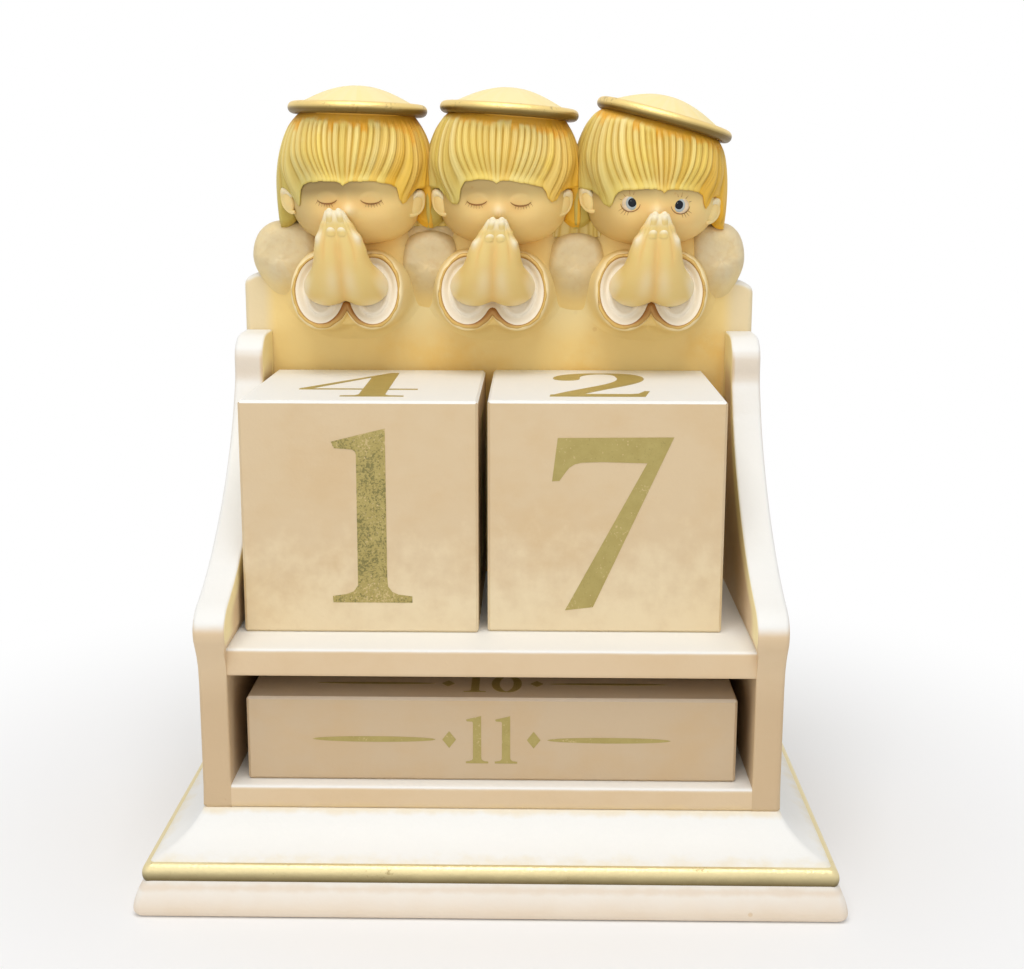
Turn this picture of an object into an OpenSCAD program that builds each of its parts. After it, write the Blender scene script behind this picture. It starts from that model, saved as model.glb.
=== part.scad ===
// Perpetual block calendar on a stepped stand: two day cubes stand in an open bay, three square
// month bars lie in the slot under them, and three praying cherubs rise from the back panel.
// Millimetres, +Z up, the viewer is at -Y, and the origin is the centre of the underside.

/* [Base] */
// Height of the bottom slab
slab_h = 7.2; // [4:0.1:12]
// How far the slab spreads from its top edge to its foot
slab_flare = 2.0; // [0.4:0.1:4]
// Radius of the slab's bottom edge
slab_round = 1.5; // [0.4:0.1:2.5]
// Thickness of the gold half-round bead
bead_d = 2.8; // [1.5:0.1:5]
// Setback of the bead from the slab's foot
bead_set = 1.9; // [0.5:0.1:4]
// Height of the cove over the bead
cove_h = 7.0; // [4:0.1:12]
// Depth of the hollow in the cove
cove_sag = 1.1; // [0.2:0.1:2]
// How far the base reaches past the case on every side
base_lip = 11.5; // [8:0.1:20]

/* [Case] */
// Thickness of the two cheeks
cheek_t = 5.4; // [3:0.1:9]
// Thickness of the slot's floor
floor_t = 4.45; // [2.5:0.05:8]
// Thickness of the shelf under the day cubes
shelf_t = 5.35; // [3:0.05:9]
// Height of the cheeks above the shelf, at the panel
cheek_rise = 53.5; // [45:0.5:62]
// Height of the cheeks' front nose above the shelf
nose_rise = 8.6; // [4:0.1:14]
// How far the nose stands out in front of the case
nose_out = 3.6; // [1:0.1:6]
// Height over which the nose runs back into the case's front
nose_fall = 16; // [10:0.5:22]
// Depth of the flat on top of the cheek
cheek_flat = 3.8; // [2:0.1:8]

/* [Panel] */
// Thickness of the back panel
panel_t = 7.0; // [4:0.1:12]
// Height of the panel's corners above the cheeks
panel_rise = 10.0; // [6:0.1:20]
// Height of the arch at the middle of the panel's top edge
panel_arch = 6.0; // [2:0.1:8]
// Radius of the panel's top corners
panel_round = 1.6; // [0.5:0.1:4]
// Setback of the panel's side edges from the cheeks
panel_set = 0.2; // [0:0.1:2]

/* [Day cubes] */
// Edge of a day cube
cube_size = 45; // [38:0.5:55]
// Chamfer on the edges of cubes and bars
block_chamfer = 0.5; // [0.2:0.1:1.5]
// Space between the two cubes
cube_gap = 1.75; // [0.5:0.05:5]
// Space between the left cube and its cheek
cube_left_gap = 1.6; // [0.5:0.05:6]
// Space between the right cube and its cheek
cube_right_gap = 5.25; // [0.5:0.05:8]
// Shelf left free in front of the left cube
cube_recess = 10.7; // [4:0.1:20]
// Space behind the left cube
cube_back_left = 1.3; // [0.2:0.1:4]
// Space behind the right cube
cube_back_right = 0.3; // [0.2:0.1:4]

/* [Month bars] */
// Thickness of the square month bars
bar_size = 16.55; // [12:0.05:20]
// Space at each end of a bar
bar_end_gap = 2.8; // [0.5:0.1:6]
// Space between one bar and the next
bar_gap = 0.4; // [0.2:0.1:2]
// Setback of the front bar from the case's front
bar_recess = 3.2; // [0:0.1:8]
// Space behind the last bar
bar_back_gap = 3.35; // [0.3:0.05:8]
// Height of the free space over the bars
bar_headroom = 5.15; // [4.2:0.05:10]

/* [Figures] */
// Distance from one figure to the next
fig_pitch = 30.85; // [29.6:0.05:34]
// Shift of the three figures to the right
fig_shift = 1.2; // [-2:0.1:2]
// Height of the heads' centre above the panel's corners
head_up = 19.3; // [18:0.1:24]
// Distance of the heads' centre in front of the panel
head_fwd = 2.1; // [0:0.1:6]
// Half width of a head
head_r = 13.9; // [12:0.1:14.2]
// Depth of the chin below the head's centre
chin_drop = 11.1; // [9:0.1:13]
// Height of the skull above the head's centre
skull_up = 16.4; // [14:0.1:16.8]
// Space between pieces that seat on each other's curves
seat_gap = 0.12; // [0.05:0.01:0.3]
// Space between the head and the faceted lining of the hair
lining_gap = 0.3; // [0.25:0.01:0.5]

/* [Hair and halos] */
// Half width of the hair at the ears
hair_r = 16.6; // [15.5:0.1:18]
// How much thinner the hair is over the forehead
fringe_thin = 1.4; // [0:0.1:2]
// Height of the hair's outer surface above the head's centre
hair_up = 21.6; // [20:0.1:23]
// Height of the domed crown above its halo
crown_up = 3.6; // [1:0.1:5]
// Height of the carved strands
strand_h = 0.32; // [0:0.02:0.5]
// Outer radius of a halo
halo_r = 14.45; // [13.8:0.05:15]
// Thickness of a halo
halo_d = 2.5; // [1.5:0.1:2.6]

/* [Wings, sleeves and hands] */
// Thickness of one layer of the wings
wing_t = 2.5; // [1.5:0.1:3]
// Half height of a wing
wing_r = 7.9; // [6.5:0.1:9]
// Half width of the robes
robe_r = 9.4; // [7.5:0.1:9.6]
// Distance of the cuffs' rims in front of the robe
cuff_out = 1.8; // [0.6:0.1:4]
// Distance of the cuffs' centre below the panel's corners
cuff_drop = 0.8; // [0:0.1:3]
// Slope of the cuffs' rims, as run over rise
cuff_slope = 0.25; // [0:0.01:0.4]
// Half distance between the centres of the two sleeve mouths
cuff_c = 5.0; // [4.4:0.1:5.2]
// Half width of one sleeve mouth
cuff_a = 5.95; // [5.4:0.05:6.3]
// Half height of one sleeve mouth
cuff_b = 7.3; // [6:0.1:8]
// Width of the gold line round the cuffs
trim_w = 0.95; // [0.5:0.05:1.2]
// Height of the gold line on the cuffs' rims
trim_h = 0.55; // [0.3:0.05:1]
// Depth of the hollow inside the cuffs
cuff_deep = 1.3; // [0.8:0.1:1.6]
// Height of the fingertips above the cuffs' centre
hand_h = 15.6; // [12:0.1:18]
// Distance of the fingertips in front of the cuffs' rims
hand_fwd = 6.8; // [4:0.1:9]
// Half width of one hand at the wrist
hand_a = 4.85; // [3.5:0.05:5]
// Half thickness of the hands at the wrist
hand_b = 4.7; // [3.5:0.1:5]
// Half distance between the middles of the two hands at the wrist
hand_c = 4.1; // [3:0.1:4.4]

/* [Hidden] */
$fn = 96;

cream = [0.95, 0.91, 0.82];
block_cream = [0.94, 0.87, 0.78];
gold = [0.72, 0.60, 0.26];
skin = [0.91, 0.78, 0.58];
blond = [0.96, 0.84, 0.42];
white = [0.97, 0.95, 0.9];

// widths and depths of the stand
bay_w = cube_left_gap + 2 * cube_size + cube_gap + cube_right_gap;
case_w = bay_w + 2 * cheek_t;
bars_d = bar_recess + 3 * bar_size + 2 * bar_gap + bar_back_gap;
bay_d = max(cube_recess + cube_size + cube_back_left, bars_d);
case_d = bay_d + panel_t;
base_w = case_w + 2 * base_lip;
base_d = case_d + 2 * base_lip;
panel_w = case_w - 2 * panel_set;
front_y = -case_d / 2;
panel_y = front_y + bay_d;

// levels of the stand, from the underside up
bead_z = slab_h;
cove_z = bead_z + bead_d;
case_z = cove_z + cove_h;
slot_z = case_z + floor_t;
shelf_z = slot_z + bar_size + bar_headroom;
cube_z = shelf_z + shelf_t;
cheek_z = cube_z + cheek_rise;
panel_z = cheek_z + panel_rise;

// the three figures, from left to right: each is cast with its own small differences
fig_x = [for (i = [-1:1]) fig_shift + i * fig_pitch];
halo_tilt = [1.6, 4.0, 15.3];
halo_lift = [16.7, 16.4, 14.8];
halo_slide = [0, 0, -1.5];
cuff_shift = [-1.5, -2.1, -0.2];
hand_lean = [-1.5, 0.9, 0.9];
half_pitch = fig_pitch / 2 - seat_gap / 2;
sleeve_y = 2 * wing_t + 0.2;
cuff_fwd = robe_r + cuff_out;

// ---------- helpers ----------

// A ring-by-ring skin closed by a fan at each end
module skin(rings, first, last) {
    m = len(rings);
    n = len(rings[0]);
    polyhedron(
        points = concat([for (r = rings) each r], [first, last]),
        faces = concat(
            [for (i = [0:m - 2]) for (j = [0:n - 1]) each let (k = (j + 1) % n)
                [[i * n + j, i * n + k, (i + 1) * n + k], [i * n + j, (i + 1) * n + k, (i + 1) * n + j]]],
            [for (j = [0:n - 1]) [m * n, (j + 1) % n, j]],
            [for (j = [0:n - 1]) [m * n + 1, (m - 1) * n + j, (m - 1) * n + (j + 1) % n]]));
}

// A skin whose last ring joins its first, as on a hoop
module hoop(rings) {
    m = len(rings);
    n = len(rings[0]);
    polyhedron(
        points = [for (r = rings) each r],
        faces = [for (i = [0:m - 1]) for (j = [0:n - 1])
            each let (k = (j + 1) % n, h = (i + 1) % m)
            [[i * n + j, i * n + k, h * n + k], [i * n + j, h * n + k, h * n + j]]]);
}

// A plate with the same moulded edge on all four sides: edge holds [setback, height] pairs
module moulded(edge, w, d) {
    function sym(h) = concat([for (p = edge) [h - p[0], p[1]]],
        [for (i = [len(edge) - 1:-1:0]) [edge[i][0] - h, edge[i][1]]]);
    intersection() {
        rotate([90, 0, 0]) linear_extrude(d + 2, center = true) polygon(sym(w / 2));
        rotate([90, 0, 90]) linear_extrude(w + 2, center = true) polygon(sym(d / 2));
    }
}

// A block with all its edges chamfered, from its left front bottom corner
module block(w, d, h) {
    c = block_chamfer;
    function face(a, b) = [[c, 0], [a - c, 0], [a, c], [a, b - c], [a - c, b], [c, b], [0, b - c], [0, c]];
    intersection() {
        linear_extrude(h) polygon(face(w, d));
        translate([0, d, 0]) rotate([90, 0, 0]) linear_extrude(d) polygon(face(w, h));
        rotate([90, 0, 90]) linear_extrude(w) polygon(face(d, h));
    }
}

function bezier(p, t) = pow(1 - t, 3) * p[0] + 3 * pow(1 - t, 2) * t * p[1]
    + 3 * (1 - t) * t * t * p[2] + t * t * t * p[3];

// ---------- stand ----------

module base_slab() {
    color(cream) moulded(concat(
        [for (a = [0:22.5:90]) slab_round * [1 - sin(a), 1 - cos(a)]],
        [for (t = [0.2:0.2:1]) [slab_flare * t * t, slab_round + (slab_h - slab_round) * t]]),
        base_w, base_d);
}

module gold_bead() {
    r = bead_d / 2;
    color(gold) moulded([for (a = [-90:15:90]) [bead_set + r - r * cos(a), bead_z + r + r * sin(a)]],
        base_w, base_d);
}

module base_cove() {
    top_set = base_lip - 0.3;
    low_set = bead_set + bead_d / 2;
    color(cream) moulded([for (t = [0:0.1:1])
        [low_set + (top_set - low_set) * t + cove_sag * 4 * t * (1 - t) * 0.7,
         cove_z + cove_h * t - cove_sag * 4 * t * (1 - t) * 0.7]], base_w, base_d);
}

module case_floor() {
    color(cream) translate([-bay_w / 2, front_y, case_z]) cube([bay_w, bay_d, floor_t]);
}

module cube_shelf() {
    color(cream) translate([-bay_w / 2, front_y, shelf_z]) cube([bay_w, bay_d, shelf_t]);
}

// Side wall: an ogee sweeps down from the flat beside the panel to a rounded nose
module cheek(side) {
    nose_z = cube_z + nose_rise;
    top = [panel_y - cheek_flat, cheek_z];
    bend = [panel_y - bay_d * 0.26, cheek_z - cheek_rise * 0.235];
    nose = [front_y + 1, nose_z];
    shoulder = [top, top + [-bay_d * 0.075, -0.4], bend + [bay_d * 0.045, cheek_rise * 0.1], bend];
    sweep = [bend, bend - [bay_d * 0.11, cheek_rise * 0.245], nose + [bay_d * 0.3, cheek_rise * 0.1], nose];
    chin = [[front_y - nose_out, nose_z - nose_fall * 0.31], [front_y - nose_out, nose_z - nose_fall * 0.5],
        [front_y, nose_z - nose_fall * 0.56], [front_y, nose_z - nose_fall]];
    tip = [nose, nose - [2.6, 0.9], chin[0] + [0, 2.4], chin[0]];
    outline = concat([[panel_y, case_z], [panel_y, cheek_z]],
        [for (t = [0:0.125:1]) bezier(shoulder, t)],
        [for (t = [0.08:0.08:0.96]) bezier(sweep, t)],
        [for (t = [0:0.2:1]) bezier(tip, t)],
        [for (t = [0.2:0.2:1]) bezier(chin, t)],
        [[front_y, case_z]]);
    translate([side > 0 ? bay_w / 2 : -bay_w / 2 - cheek_t, 0, 0])
        rotate([90, 0, 90]) linear_extrude(cheek_t) polygon(outline);
}

module cheek_left() { color(cream) cheek(-1); }
module cheek_right() { color(cream) cheek(1); }

// Upright behind the cubes, with an arched top edge and eased corners
module back_panel() {
    h = panel_z - case_z;
    r = panel_round;
    arch_r = (pow(panel_w / 2, 2) + pow(panel_arch, 2)) / (2 * panel_arch);
    color(cream) translate([0, panel_y + panel_t, case_z]) rotate([90, 0, 0])
        linear_extrude(panel_t) intersection() {
            union() {
                translate([-panel_w / 2, 0]) square([panel_w, h - r]);
                translate([-panel_w / 2 + r, 0]) square([panel_w - 2 * r, h + panel_arch + 1]);
                for (s = [-1, 1]) translate([s * (panel_w / 2 - r), h - r]) circle(r);
            }
            translate([0, h + panel_arch - arch_r]) circle(arch_r, $fn = 256);
        }
}

// ---------- calendar blocks ----------

module day_cube_left() {
    color(block_cream) translate([-bay_w / 2 + cube_left_gap, panel_y - cube_back_left - cube_size, cube_z])
        block(cube_size, cube_size, cube_size);
}

module day_cube_right() {
    color(block_cream) translate([bay_w / 2 - cube_right_gap - cube_size,
        panel_y - cube_back_right - cube_size, cube_z]) block(cube_size, cube_size, cube_size);
}

module month_bar(i) {
    translate([-bay_w / 2 + bar_end_gap, front_y + bar_recess + i * (bar_size + bar_gap), slot_z])
        block(bay_w - 2 * bar_end_gap, bar_size, bar_size);
}

module month_bar_front() { color(block_cream) month_bar(0); }
module month_bar_middle() { color(block_cream) month_bar(1); }
module month_bar_back() { color(block_cream) month_bar(2); }

// ---------- figures ----------
// Each figure is drawn about the point where its middle line crosses the panel's front face at
// the height of the panel's corners.

module at_figure(i) { translate([fig_x[i], panel_y, panel_z]) children(); }

// Half width of the head at a height over its centre: full cheeks below, a round skull above
function head_w(z, g) = z < 0
    ? (head_r + g) * pow(max(0, 1 - pow(-z / (chin_drop + g), 2.5)), 0.4)
    : (head_r + g) * sqrt(max(0, 1 - pow(z / (skull_up + g), 2)));

module head_blank(g) {
    translate([0, -head_fwd, head_up]) rotate_extrude() polygon(concat(
        [[0, -chin_drop - g]],
        [for (a = [-82:8:-2]) let (z = (chin_drop + g) * sin(a)) [head_w(z, g), z]],
        [for (a = [6:12:78]) let (z = (skull_up + g) * sin(a)) [head_w(z, g), z]],
        [[0, skull_up + g]]));
}

module ear(side) {
    translate([side * (head_r - 1), -head_fwd - 1.9, head_up - 2.4]) rotate([0, 0, side * 20])
        rotate([90, side * 8, 0]) {
            rotate_extrude() translate([1.75, 0]) circle(0.85, $fn = 32);
            cylinder(h = 0.8, r = 1.6, center = true);
        }
}

module head(i) {
    at_figure(i) {
        head_blank(0);
        ear(-1);
        ear(1);
        translate([0, -head_fwd - head_r + 0.55, head_up - 3.6]) sphere(1.7, $fn = 48);
    }
}

// A halo's own axes: it leans to one side by its tilt, about the head's centre
function halo_n(i) = [sin(halo_tilt[i]), 0, cos(halo_tilt[i])];
function halo_s(i) = [cos(halo_tilt[i]), 0, -sin(halo_tilt[i])];
function halo_c(i) = [0, -head_fwd, head_up] + halo_lift[i] * halo_n(i) + halo_slide[i] * halo_s(i);
function on_halo(i, r, az, h) = halo_c(i) + h * halo_n(i) + r * sin(az) * halo_s(i) + [0, -r * cos(az), 0];

module halo(i) {
    at_figure(i) translate(halo_c(i)) rotate([0, halo_tilt[i], 0])
        rotate_extrude() translate([halo_r - halo_d / 2, 0]) circle(halo_d / 2);
}

// Lower edge of the hair, as a height over the head's centre, by angle round from the forehead:
// fringe, sideburn, the notch over the ear, then the fall behind it
hair_edge = [[0, 2.6], [9, 2.0], [20, 3.1], [31, 2.3], [39, -0.7], [46, -3.0], [52, -2.0],
    [60, 0.4], [68, 1.9], [88, 1.9], [95, -3.0], [103, -6.0], [180, -8.2]];
hair_waist = halo_r - halo_d - seat_gap;
hair_cols = 60;
fall_rows = 6;
lining_rows = 7;

function hair_wide(az) = hair_r - fringe_thin * pow(max(0, cos(az)), 2);
// Distance from the head's centre to the hair's outer surface, a by angle round, p from the top
function hair_out(az, p) = pow(pow(sin(p) / hair_wide(az), 2.2)
    + pow(abs(cos(p)) / (cos(p) > 0 ? hair_up : 30), 2.2), -1 / 2.2);
// The head's own surface in the same direction, found by halving the span between two distances
function head_out(p, lo = chin_drop * 0.7, hi = skull_up * 1.3, k = 0) = k > 14 ? (lo + hi) / 2 :
    let (m = (lo + hi) / 2, z = m * cos(p))
    (z > -chin_drop - lining_gap && z < skull_up + lining_gap && m * sin(p) < head_w(z, lining_gap))
        ? head_out(p, m, hi, k + 1) : head_out(p, lo, m, k + 1);
function polar(d, az, p) = [0, -head_fwd, head_up]
    + d * [sin(p) * sin(az), -sin(p) * cos(az), cos(p)];
// Angle from the top at which the outer surface reaches the hair's lower edge
function edge_p(az) = let (z = lookup(abs(az), hair_edge)) 90 - atan(z / hair_wide(az));
// Strands lean in towards the middle of the forehead as they fall
function swept(az, t) = az - 9 * t * t * sin(2 * az) * (abs(az) < 90 ? 1 : 0);
function squeeze(p, lo, hi) = [min(max(p[0], lo), hi), p[1], p[2]];
// Keeps a point of the hair under the halo that it hangs from
function under_halo(i, p) = let (h = (p - halo_c(i)) * halo_n(i))
    p - max(0, h + halo_d / 2 + seat_gap) * halo_n(i);

module hair(i) {
    lo = i == 0 ? -99 : -half_pitch;
    hi = i == 2 ? 99 : half_pitch;
    cols = [for (j = [0:hair_cols - 1]) -180 + 360 * j / hair_cols];
    crown = [for (a = [60, 35, 15]) [for (az = cols)
        on_halo(i, hair_waist * cos(a), az, halo_d / 2 + crown_up * sin(a))]];
    waist = [for (h = [0.5, -0.5]) [for (az = cols) on_halo(i, hair_waist, az, h * (halo_d + 0.1))]];
    start = [for (w = waist[1]) let (v = w - [0, -head_fwd, head_up]) acos(v[2] / norm(v)) + 4];
    falls = [for (k = [0:fall_rows]) let (t = k / fall_rows) [for (j = [0:hair_cols - 1])
        let (az = swept(cols[j], t), p = start[j] + (edge_p(az) - start[j]) * t,
            rib = strand_h * (j % 2 == 0 ? 1 : -1) * min(1, 5 * t))
        squeeze(under_halo(i, polar(hair_out(az, p) + rib, az, p)), lo, hi)]];
    lining = [for (k = [0:lining_rows - 1]) let (t = 1 - k / lining_rows) [for (j = [0:hair_cols - 1])
        let (az = swept(cols[j], t), p = edge_p(az) * t) polar(head_out(p), az, p)]];
    at_figure(i) skin(concat(crown, waist, falls, lining),
        halo_c(i) + (halo_d / 2 + crown_up) * halo_n(i), [0, -head_fwd, head_up + skull_up + lining_gap]);
}

// ---------- robes, cuffs and hands ----------

// Distance to a pair of overlapping ellipses from the point between them. The notches where they
// meet are blended by a power each, which is low for a soft one: below, then above.
function lobe_d(a, c, w, h, above) = let (k = pow(cos(a) / w, 2) + pow(sin(a) / h, 2),
    b = c * abs(cos(a)) / (w * w), q = sqrt(b * b + k * (1 - c * c / (w * w))), e = sin(a) > 0 ? above : 6)
    pow(pow((b + q) / k, e) + pow((q - b) / k, e), 1 / e);
function lobe(a, c, w, h, above) = lobe_d(a, c, w, h, above) * [cos(a), sin(a)];
// The cuffs' outline, moved outwards by g
function cuff_point(a) = lobe(a, cuff_c, cuff_a, cuff_b, 2.5);
function lobe_off(a, g) = let (d = cuff_point(a + 2) - cuff_point(a - 2))
    cuff_point(a) + g * [d[1], -d[0]] / norm(d);

cuff_cols = 40;
// A ring of the cuffs, in a plane that leans by cuff_slope, y in front of the panel
function cuff_ring(g, y) = [for (j = [0:cuff_cols - 1]) let (p = lobe_off(-90 - 360 * j / cuff_cols, g))
    [p[0], -y + cuff_slope * p[1], p[1] - cuff_drop]];

module sleeves() {
    w = trim_w + 0.1;
    rings = concat(
        [[for (p = cuff_ring(1.1, 0)) [p[0], -sleeve_y, p[2]]]],
        [cuff_ring(1.1, cuff_fwd - 3), cuff_ring(0.8, cuff_fwd - 1.3),
         cuff_ring(0.45, cuff_fwd - 0.35), cuff_ring(0.1, cuff_fwd),
         cuff_ring(-w, cuff_fwd), cuff_ring(-w - 0.35, cuff_fwd - cuff_deep * 0.6),
         cuff_ring(-w - 0.8, cuff_fwd - cuff_deep)]);
    skin(rings, [0, -sleeve_y, -cuff_drop], [0, -cuff_fwd + cuff_deep, -cuff_drop]);
}

module robe(i) {
    foot = -cuff_drop - cuff_b - 0.5;
    neck = head_up - chin_drop + 1.6;
    apron_top = -wing_r * 0.51;
    at_figure(i) difference() {
        union() {
            rotate([0, 0, 180]) rotate_extrude(angle = 180) polygon([
                [0, foot], [robe_r * 0.87, foot], [robe_r, foot + robe_r * 0.21], [robe_r, 0.5],
                [robe_r * 0.95, neck * 0.31], [robe_r * 0.84, neck * 0.57], [robe_r * 0.72, neck * 0.78],
                [robe_r * 0.68, neck], [0, neck]]);
            translate([cuff_shift[i], 0, 0]) {
                rotate([90, 0, 0]) linear_extrude(sleeve_y) intersection() {
                    union() for (s = [-1, 1]) translate([s * cuff_c, -cuff_drop]) circle(cuff_b - 0.3);
                    translate([-2 * robe_r, -2 * robe_r]) square([4 * robe_r, 2 * robe_r + apron_top]);
                }
                sleeves();
            }
        }
        head_blank(seat_gap);
    }
}

// Gold line that lies on the cuffs' rims
module cuff_trim(i) {
    at_figure(i) translate([cuff_shift[i], 0, 0]) hoop([
        cuff_ring(0, cuff_fwd), cuff_ring(0, cuff_fwd + trim_h * 0.6),
        cuff_ring(-trim_w * 0.3, cuff_fwd + trim_h), cuff_ring(-trim_w * 0.7, cuff_fwd + trim_h),
        cuff_ring(-trim_w, cuff_fwd + trim_h * 0.6), cuff_ring(-trim_w, cuff_fwd)]);
}

// Two praying hands, lofted along a spine that leaves the cuffs forwards and turns up.
// Each station: lean of the section, then shares of the distance in front of the cuffs' rims, of
// the height, and of the half spacing, half width and half thickness at the wrist
hand_stations = [
    [20, 0.07, 0.06, 1, 1, 0.96], [34, 0.37, 0.145, 0.85, 0.91, 0.98], [54, 0.6, 0.28, 0.635, 0.74, 0.89],
    [72, 0.72, 0.45, 0.54, 0.68, 0.81], [84, 0.81, 0.63, 0.415, 0.58, 0.7], [88, 0.9, 0.795, 0.29, 0.39, 0.51],
    [90, 0.97, 0.936, 0.21, 0.23, 0.34], [90, 1, 1, 0.15, 0.155, 0.21]];
hand_cols = 32;

function hand_drift(i, z) = hand_lean[i] * pow(max(0, z) / (hand_h * 0.9), 1.5);
function hand_ring(i, lean, fwd, z, c, a, b) = [for (j = [0:hand_cols - 1])
    let (p = lobe(-90 - 360 * j / hand_cols, c, a, b, 6))
    [p[0] + hand_drift(i, z), -fwd + sin(lean) * p[1], z - cuff_drop + cos(lean) * p[1]]];

module hands(i) {
    seat_z = hand_h * 0.05;
    seat_fwd = cuff_fwd - cuff_deep - cuff_slope * seat_z;
    tip_z = hand_h * 1.02;
    seat = hand_ring(i, atan(cuff_slope), seat_fwd, seat_z, hand_c, hand_a * 0.93, hand_b * 0.9);
    run = [for (s = hand_stations) hand_ring(i, s[0], cuff_fwd + s[1] * hand_fwd, s[2] * hand_h,
        s[3] * hand_c, s[4] * hand_a, s[5] * hand_b)];
    at_figure(i) translate([cuff_shift[i], 0, 0]) skin(concat([seat], run),
        [hand_drift(i, seat_z), -seat_fwd, seat_z - cuff_drop],
        [hand_drift(i, tip_z), -cuff_fwd - hand_fwd, tip_z - cuff_drop]);
}

// ---------- wings ----------

// A rounded, cushioned lobe: x and z of its centre, half width, half height, a clip on each side,
// and its back and front faces as distances in front of the panel
module wing_lobe(x, z, a, b, lo, hi, back, front) {
    n = 28;
    t = front - back;
    function rim(k, u) = [for (j = [0:n - 1]) let (q = -90 - 360 * j / n,
        e = pow(pow(abs(cos(q)) / a, 2.2) + pow(abs(sin(q)) / b, 2.2), -1 / 2.2),
        px = min(max(k * e * cos(q), lo - x), hi - x))
        [x + px, -back - t * u, z + k * e * sin(q)]];
    difference() {
        skin([rim(1, 0), rim(1, 0.4), rim(0.92, 0.75), rim(0.7, 0.94), rim(0.35, 1)],
            [x, -back, z], [x, -back - t, z]);
        children();
    }
}

wing_side = robe_r + seat_gap;
wing_front = 2 * wing_t + 0.1;

// A wing at the end of the row, side -1 or 1: out, z and a are shares of the wing's half height
module wing_end(i, side, out, z, a) {
    reach = robe_r + (out + a) * wing_r;
    at_figure(i) wing_lobe(side * (robe_r + out * wing_r), z * wing_r, a * wing_r, wing_r,
        side < 0 ? -reach : wing_side, side < 0 ? -wing_side : reach, 0, wing_front)
        head_blank(seat_gap);
}

// A wing between a figure and its neighbour on side -1 or 1. A pair crosses there: the left
// figure's wing lies in front of the right one's.
module wing_between(i, side, z, a, b) {
    lo = side < 0 ? wing_side - fig_pitch : wing_side;
    at_figure(i) wing_lobe(side * fig_pitch / 2, z * wing_r, a * wing_r, b * wing_r,
        lo, lo + fig_pitch - 2 * wing_side, side < 0 ? 0 : wing_t + 0.1, side < 0 ? wing_t : wing_front)
        union() {
            head_blank(seat_gap);
            translate([side * fig_pitch, 0, 0]) head_blank(seat_gap);
        }
}

module wing_outer_left() { color(white) wing_end(0, -1, 0.76, 0.67, 0.9); }
module wing_inner_left() { color(white) wing_between(0, 1, 0.51, 0.96, 0.95); }
module wing_middle_left() { color(white) wing_between(1, -1, 0.71, 0.86, 1.05); }
module wing_middle_right() { color(white) wing_between(1, 1, 0.46, 0.96, 0.95); }
module wing_inner_right() { color(white) wing_between(2, -1, 0.58, 0.86, 1); }
module wing_outer_right() { color(white) wing_end(2, 1, 0.47, 0.63, 0.89); }

module head_left() { color(skin) head(0); }
module head_middle() { color(skin) head(1); }
module head_right() { color(skin) head(2); }
module hair_left() { color(blond) hair(0); }
module hair_middle() { color(blond) hair(1); }
module hair_right() { color(blond) hair(2); }
module halo_left() { color(gold) halo(0); }
module halo_middle() { color(gold) halo(1); }
module halo_right() { color(gold) halo(2); }
module robe_left() { color(cream) robe(0); }
module robe_middle() { color(cream) robe(1); }
module robe_right() { color(cream) robe(2); }
module cuff_trim_left() { color(gold) cuff_trim(0); }
module cuff_trim_middle() { color(gold) cuff_trim(1); }
module cuff_trim_right() { color(gold) cuff_trim(2); }
module hands_left() { color(skin) hands(0); }
module hands_middle() { color(skin) hands(1); }
module hands_right() { color(skin) hands(2); }

base_slab();
gold_bead();
base_cove();
case_floor();
cheek_left();
cheek_right();
cube_shelf();
back_panel();
day_cube_left();
day_cube_right();
month_bar_front();
month_bar_middle();
month_bar_back();
head_left();
head_middle();
head_right();
hair_left();
hair_middle();
hair_right();
halo_left();
halo_middle();
halo_right();
robe_left();
robe_middle();
robe_right();
cuff_trim_left();
cuff_trim_middle();
cuff_trim_right();
hands_left();
hands_middle();
hands_right();
wing_outer_left();
wing_inner_left();
wing_middle_left();
wing_middle_right();
wing_inner_right();
wing_outer_right();
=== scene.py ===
"""Looks of the perpetual calendar: painted resin, carved hair, gilt halos, praying hands and numerals.

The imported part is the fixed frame. Every shape here is placed from the frame's own boxes, so it
follows the construction. Lengths are in metres. MM turns a millimetre into metres.
"""

import math

import bpy
import numpy as np
from mathutils import Matrix, Vector


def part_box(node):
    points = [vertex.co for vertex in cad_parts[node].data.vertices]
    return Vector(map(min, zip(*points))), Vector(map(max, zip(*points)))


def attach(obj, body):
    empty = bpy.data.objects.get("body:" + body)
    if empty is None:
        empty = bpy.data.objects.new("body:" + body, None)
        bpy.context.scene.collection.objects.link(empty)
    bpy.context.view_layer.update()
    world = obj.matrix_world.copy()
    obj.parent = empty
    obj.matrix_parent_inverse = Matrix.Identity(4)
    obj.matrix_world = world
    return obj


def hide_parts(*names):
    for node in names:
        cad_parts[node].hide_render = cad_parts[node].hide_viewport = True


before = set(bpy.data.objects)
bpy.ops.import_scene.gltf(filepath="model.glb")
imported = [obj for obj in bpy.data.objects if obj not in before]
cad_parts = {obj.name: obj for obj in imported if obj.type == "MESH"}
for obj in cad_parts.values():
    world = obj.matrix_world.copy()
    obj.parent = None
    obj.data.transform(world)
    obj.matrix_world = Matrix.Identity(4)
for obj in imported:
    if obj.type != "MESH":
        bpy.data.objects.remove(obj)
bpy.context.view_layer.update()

bl_info = {
    "name": "Cherub Calendar",
    "version": (1, 0, 0),
    "blender": (4, 5, 0),
    "location": "3D View > Sidebar > Calendar",
    "description": "Dresses the packed desk calendar in painted resin, carved hair and gilding",
    "category": "Object",
}

MM = 0.001
STAND = "stand"
PLACES = ("left", "middle", "right")


def corners(node):
    """Lowest and highest corner of a CAD node, as arrays."""
    low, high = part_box(node)
    return np.array(low), np.array(high)


# ---------- sizes and colours that a user would change ----------


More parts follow.
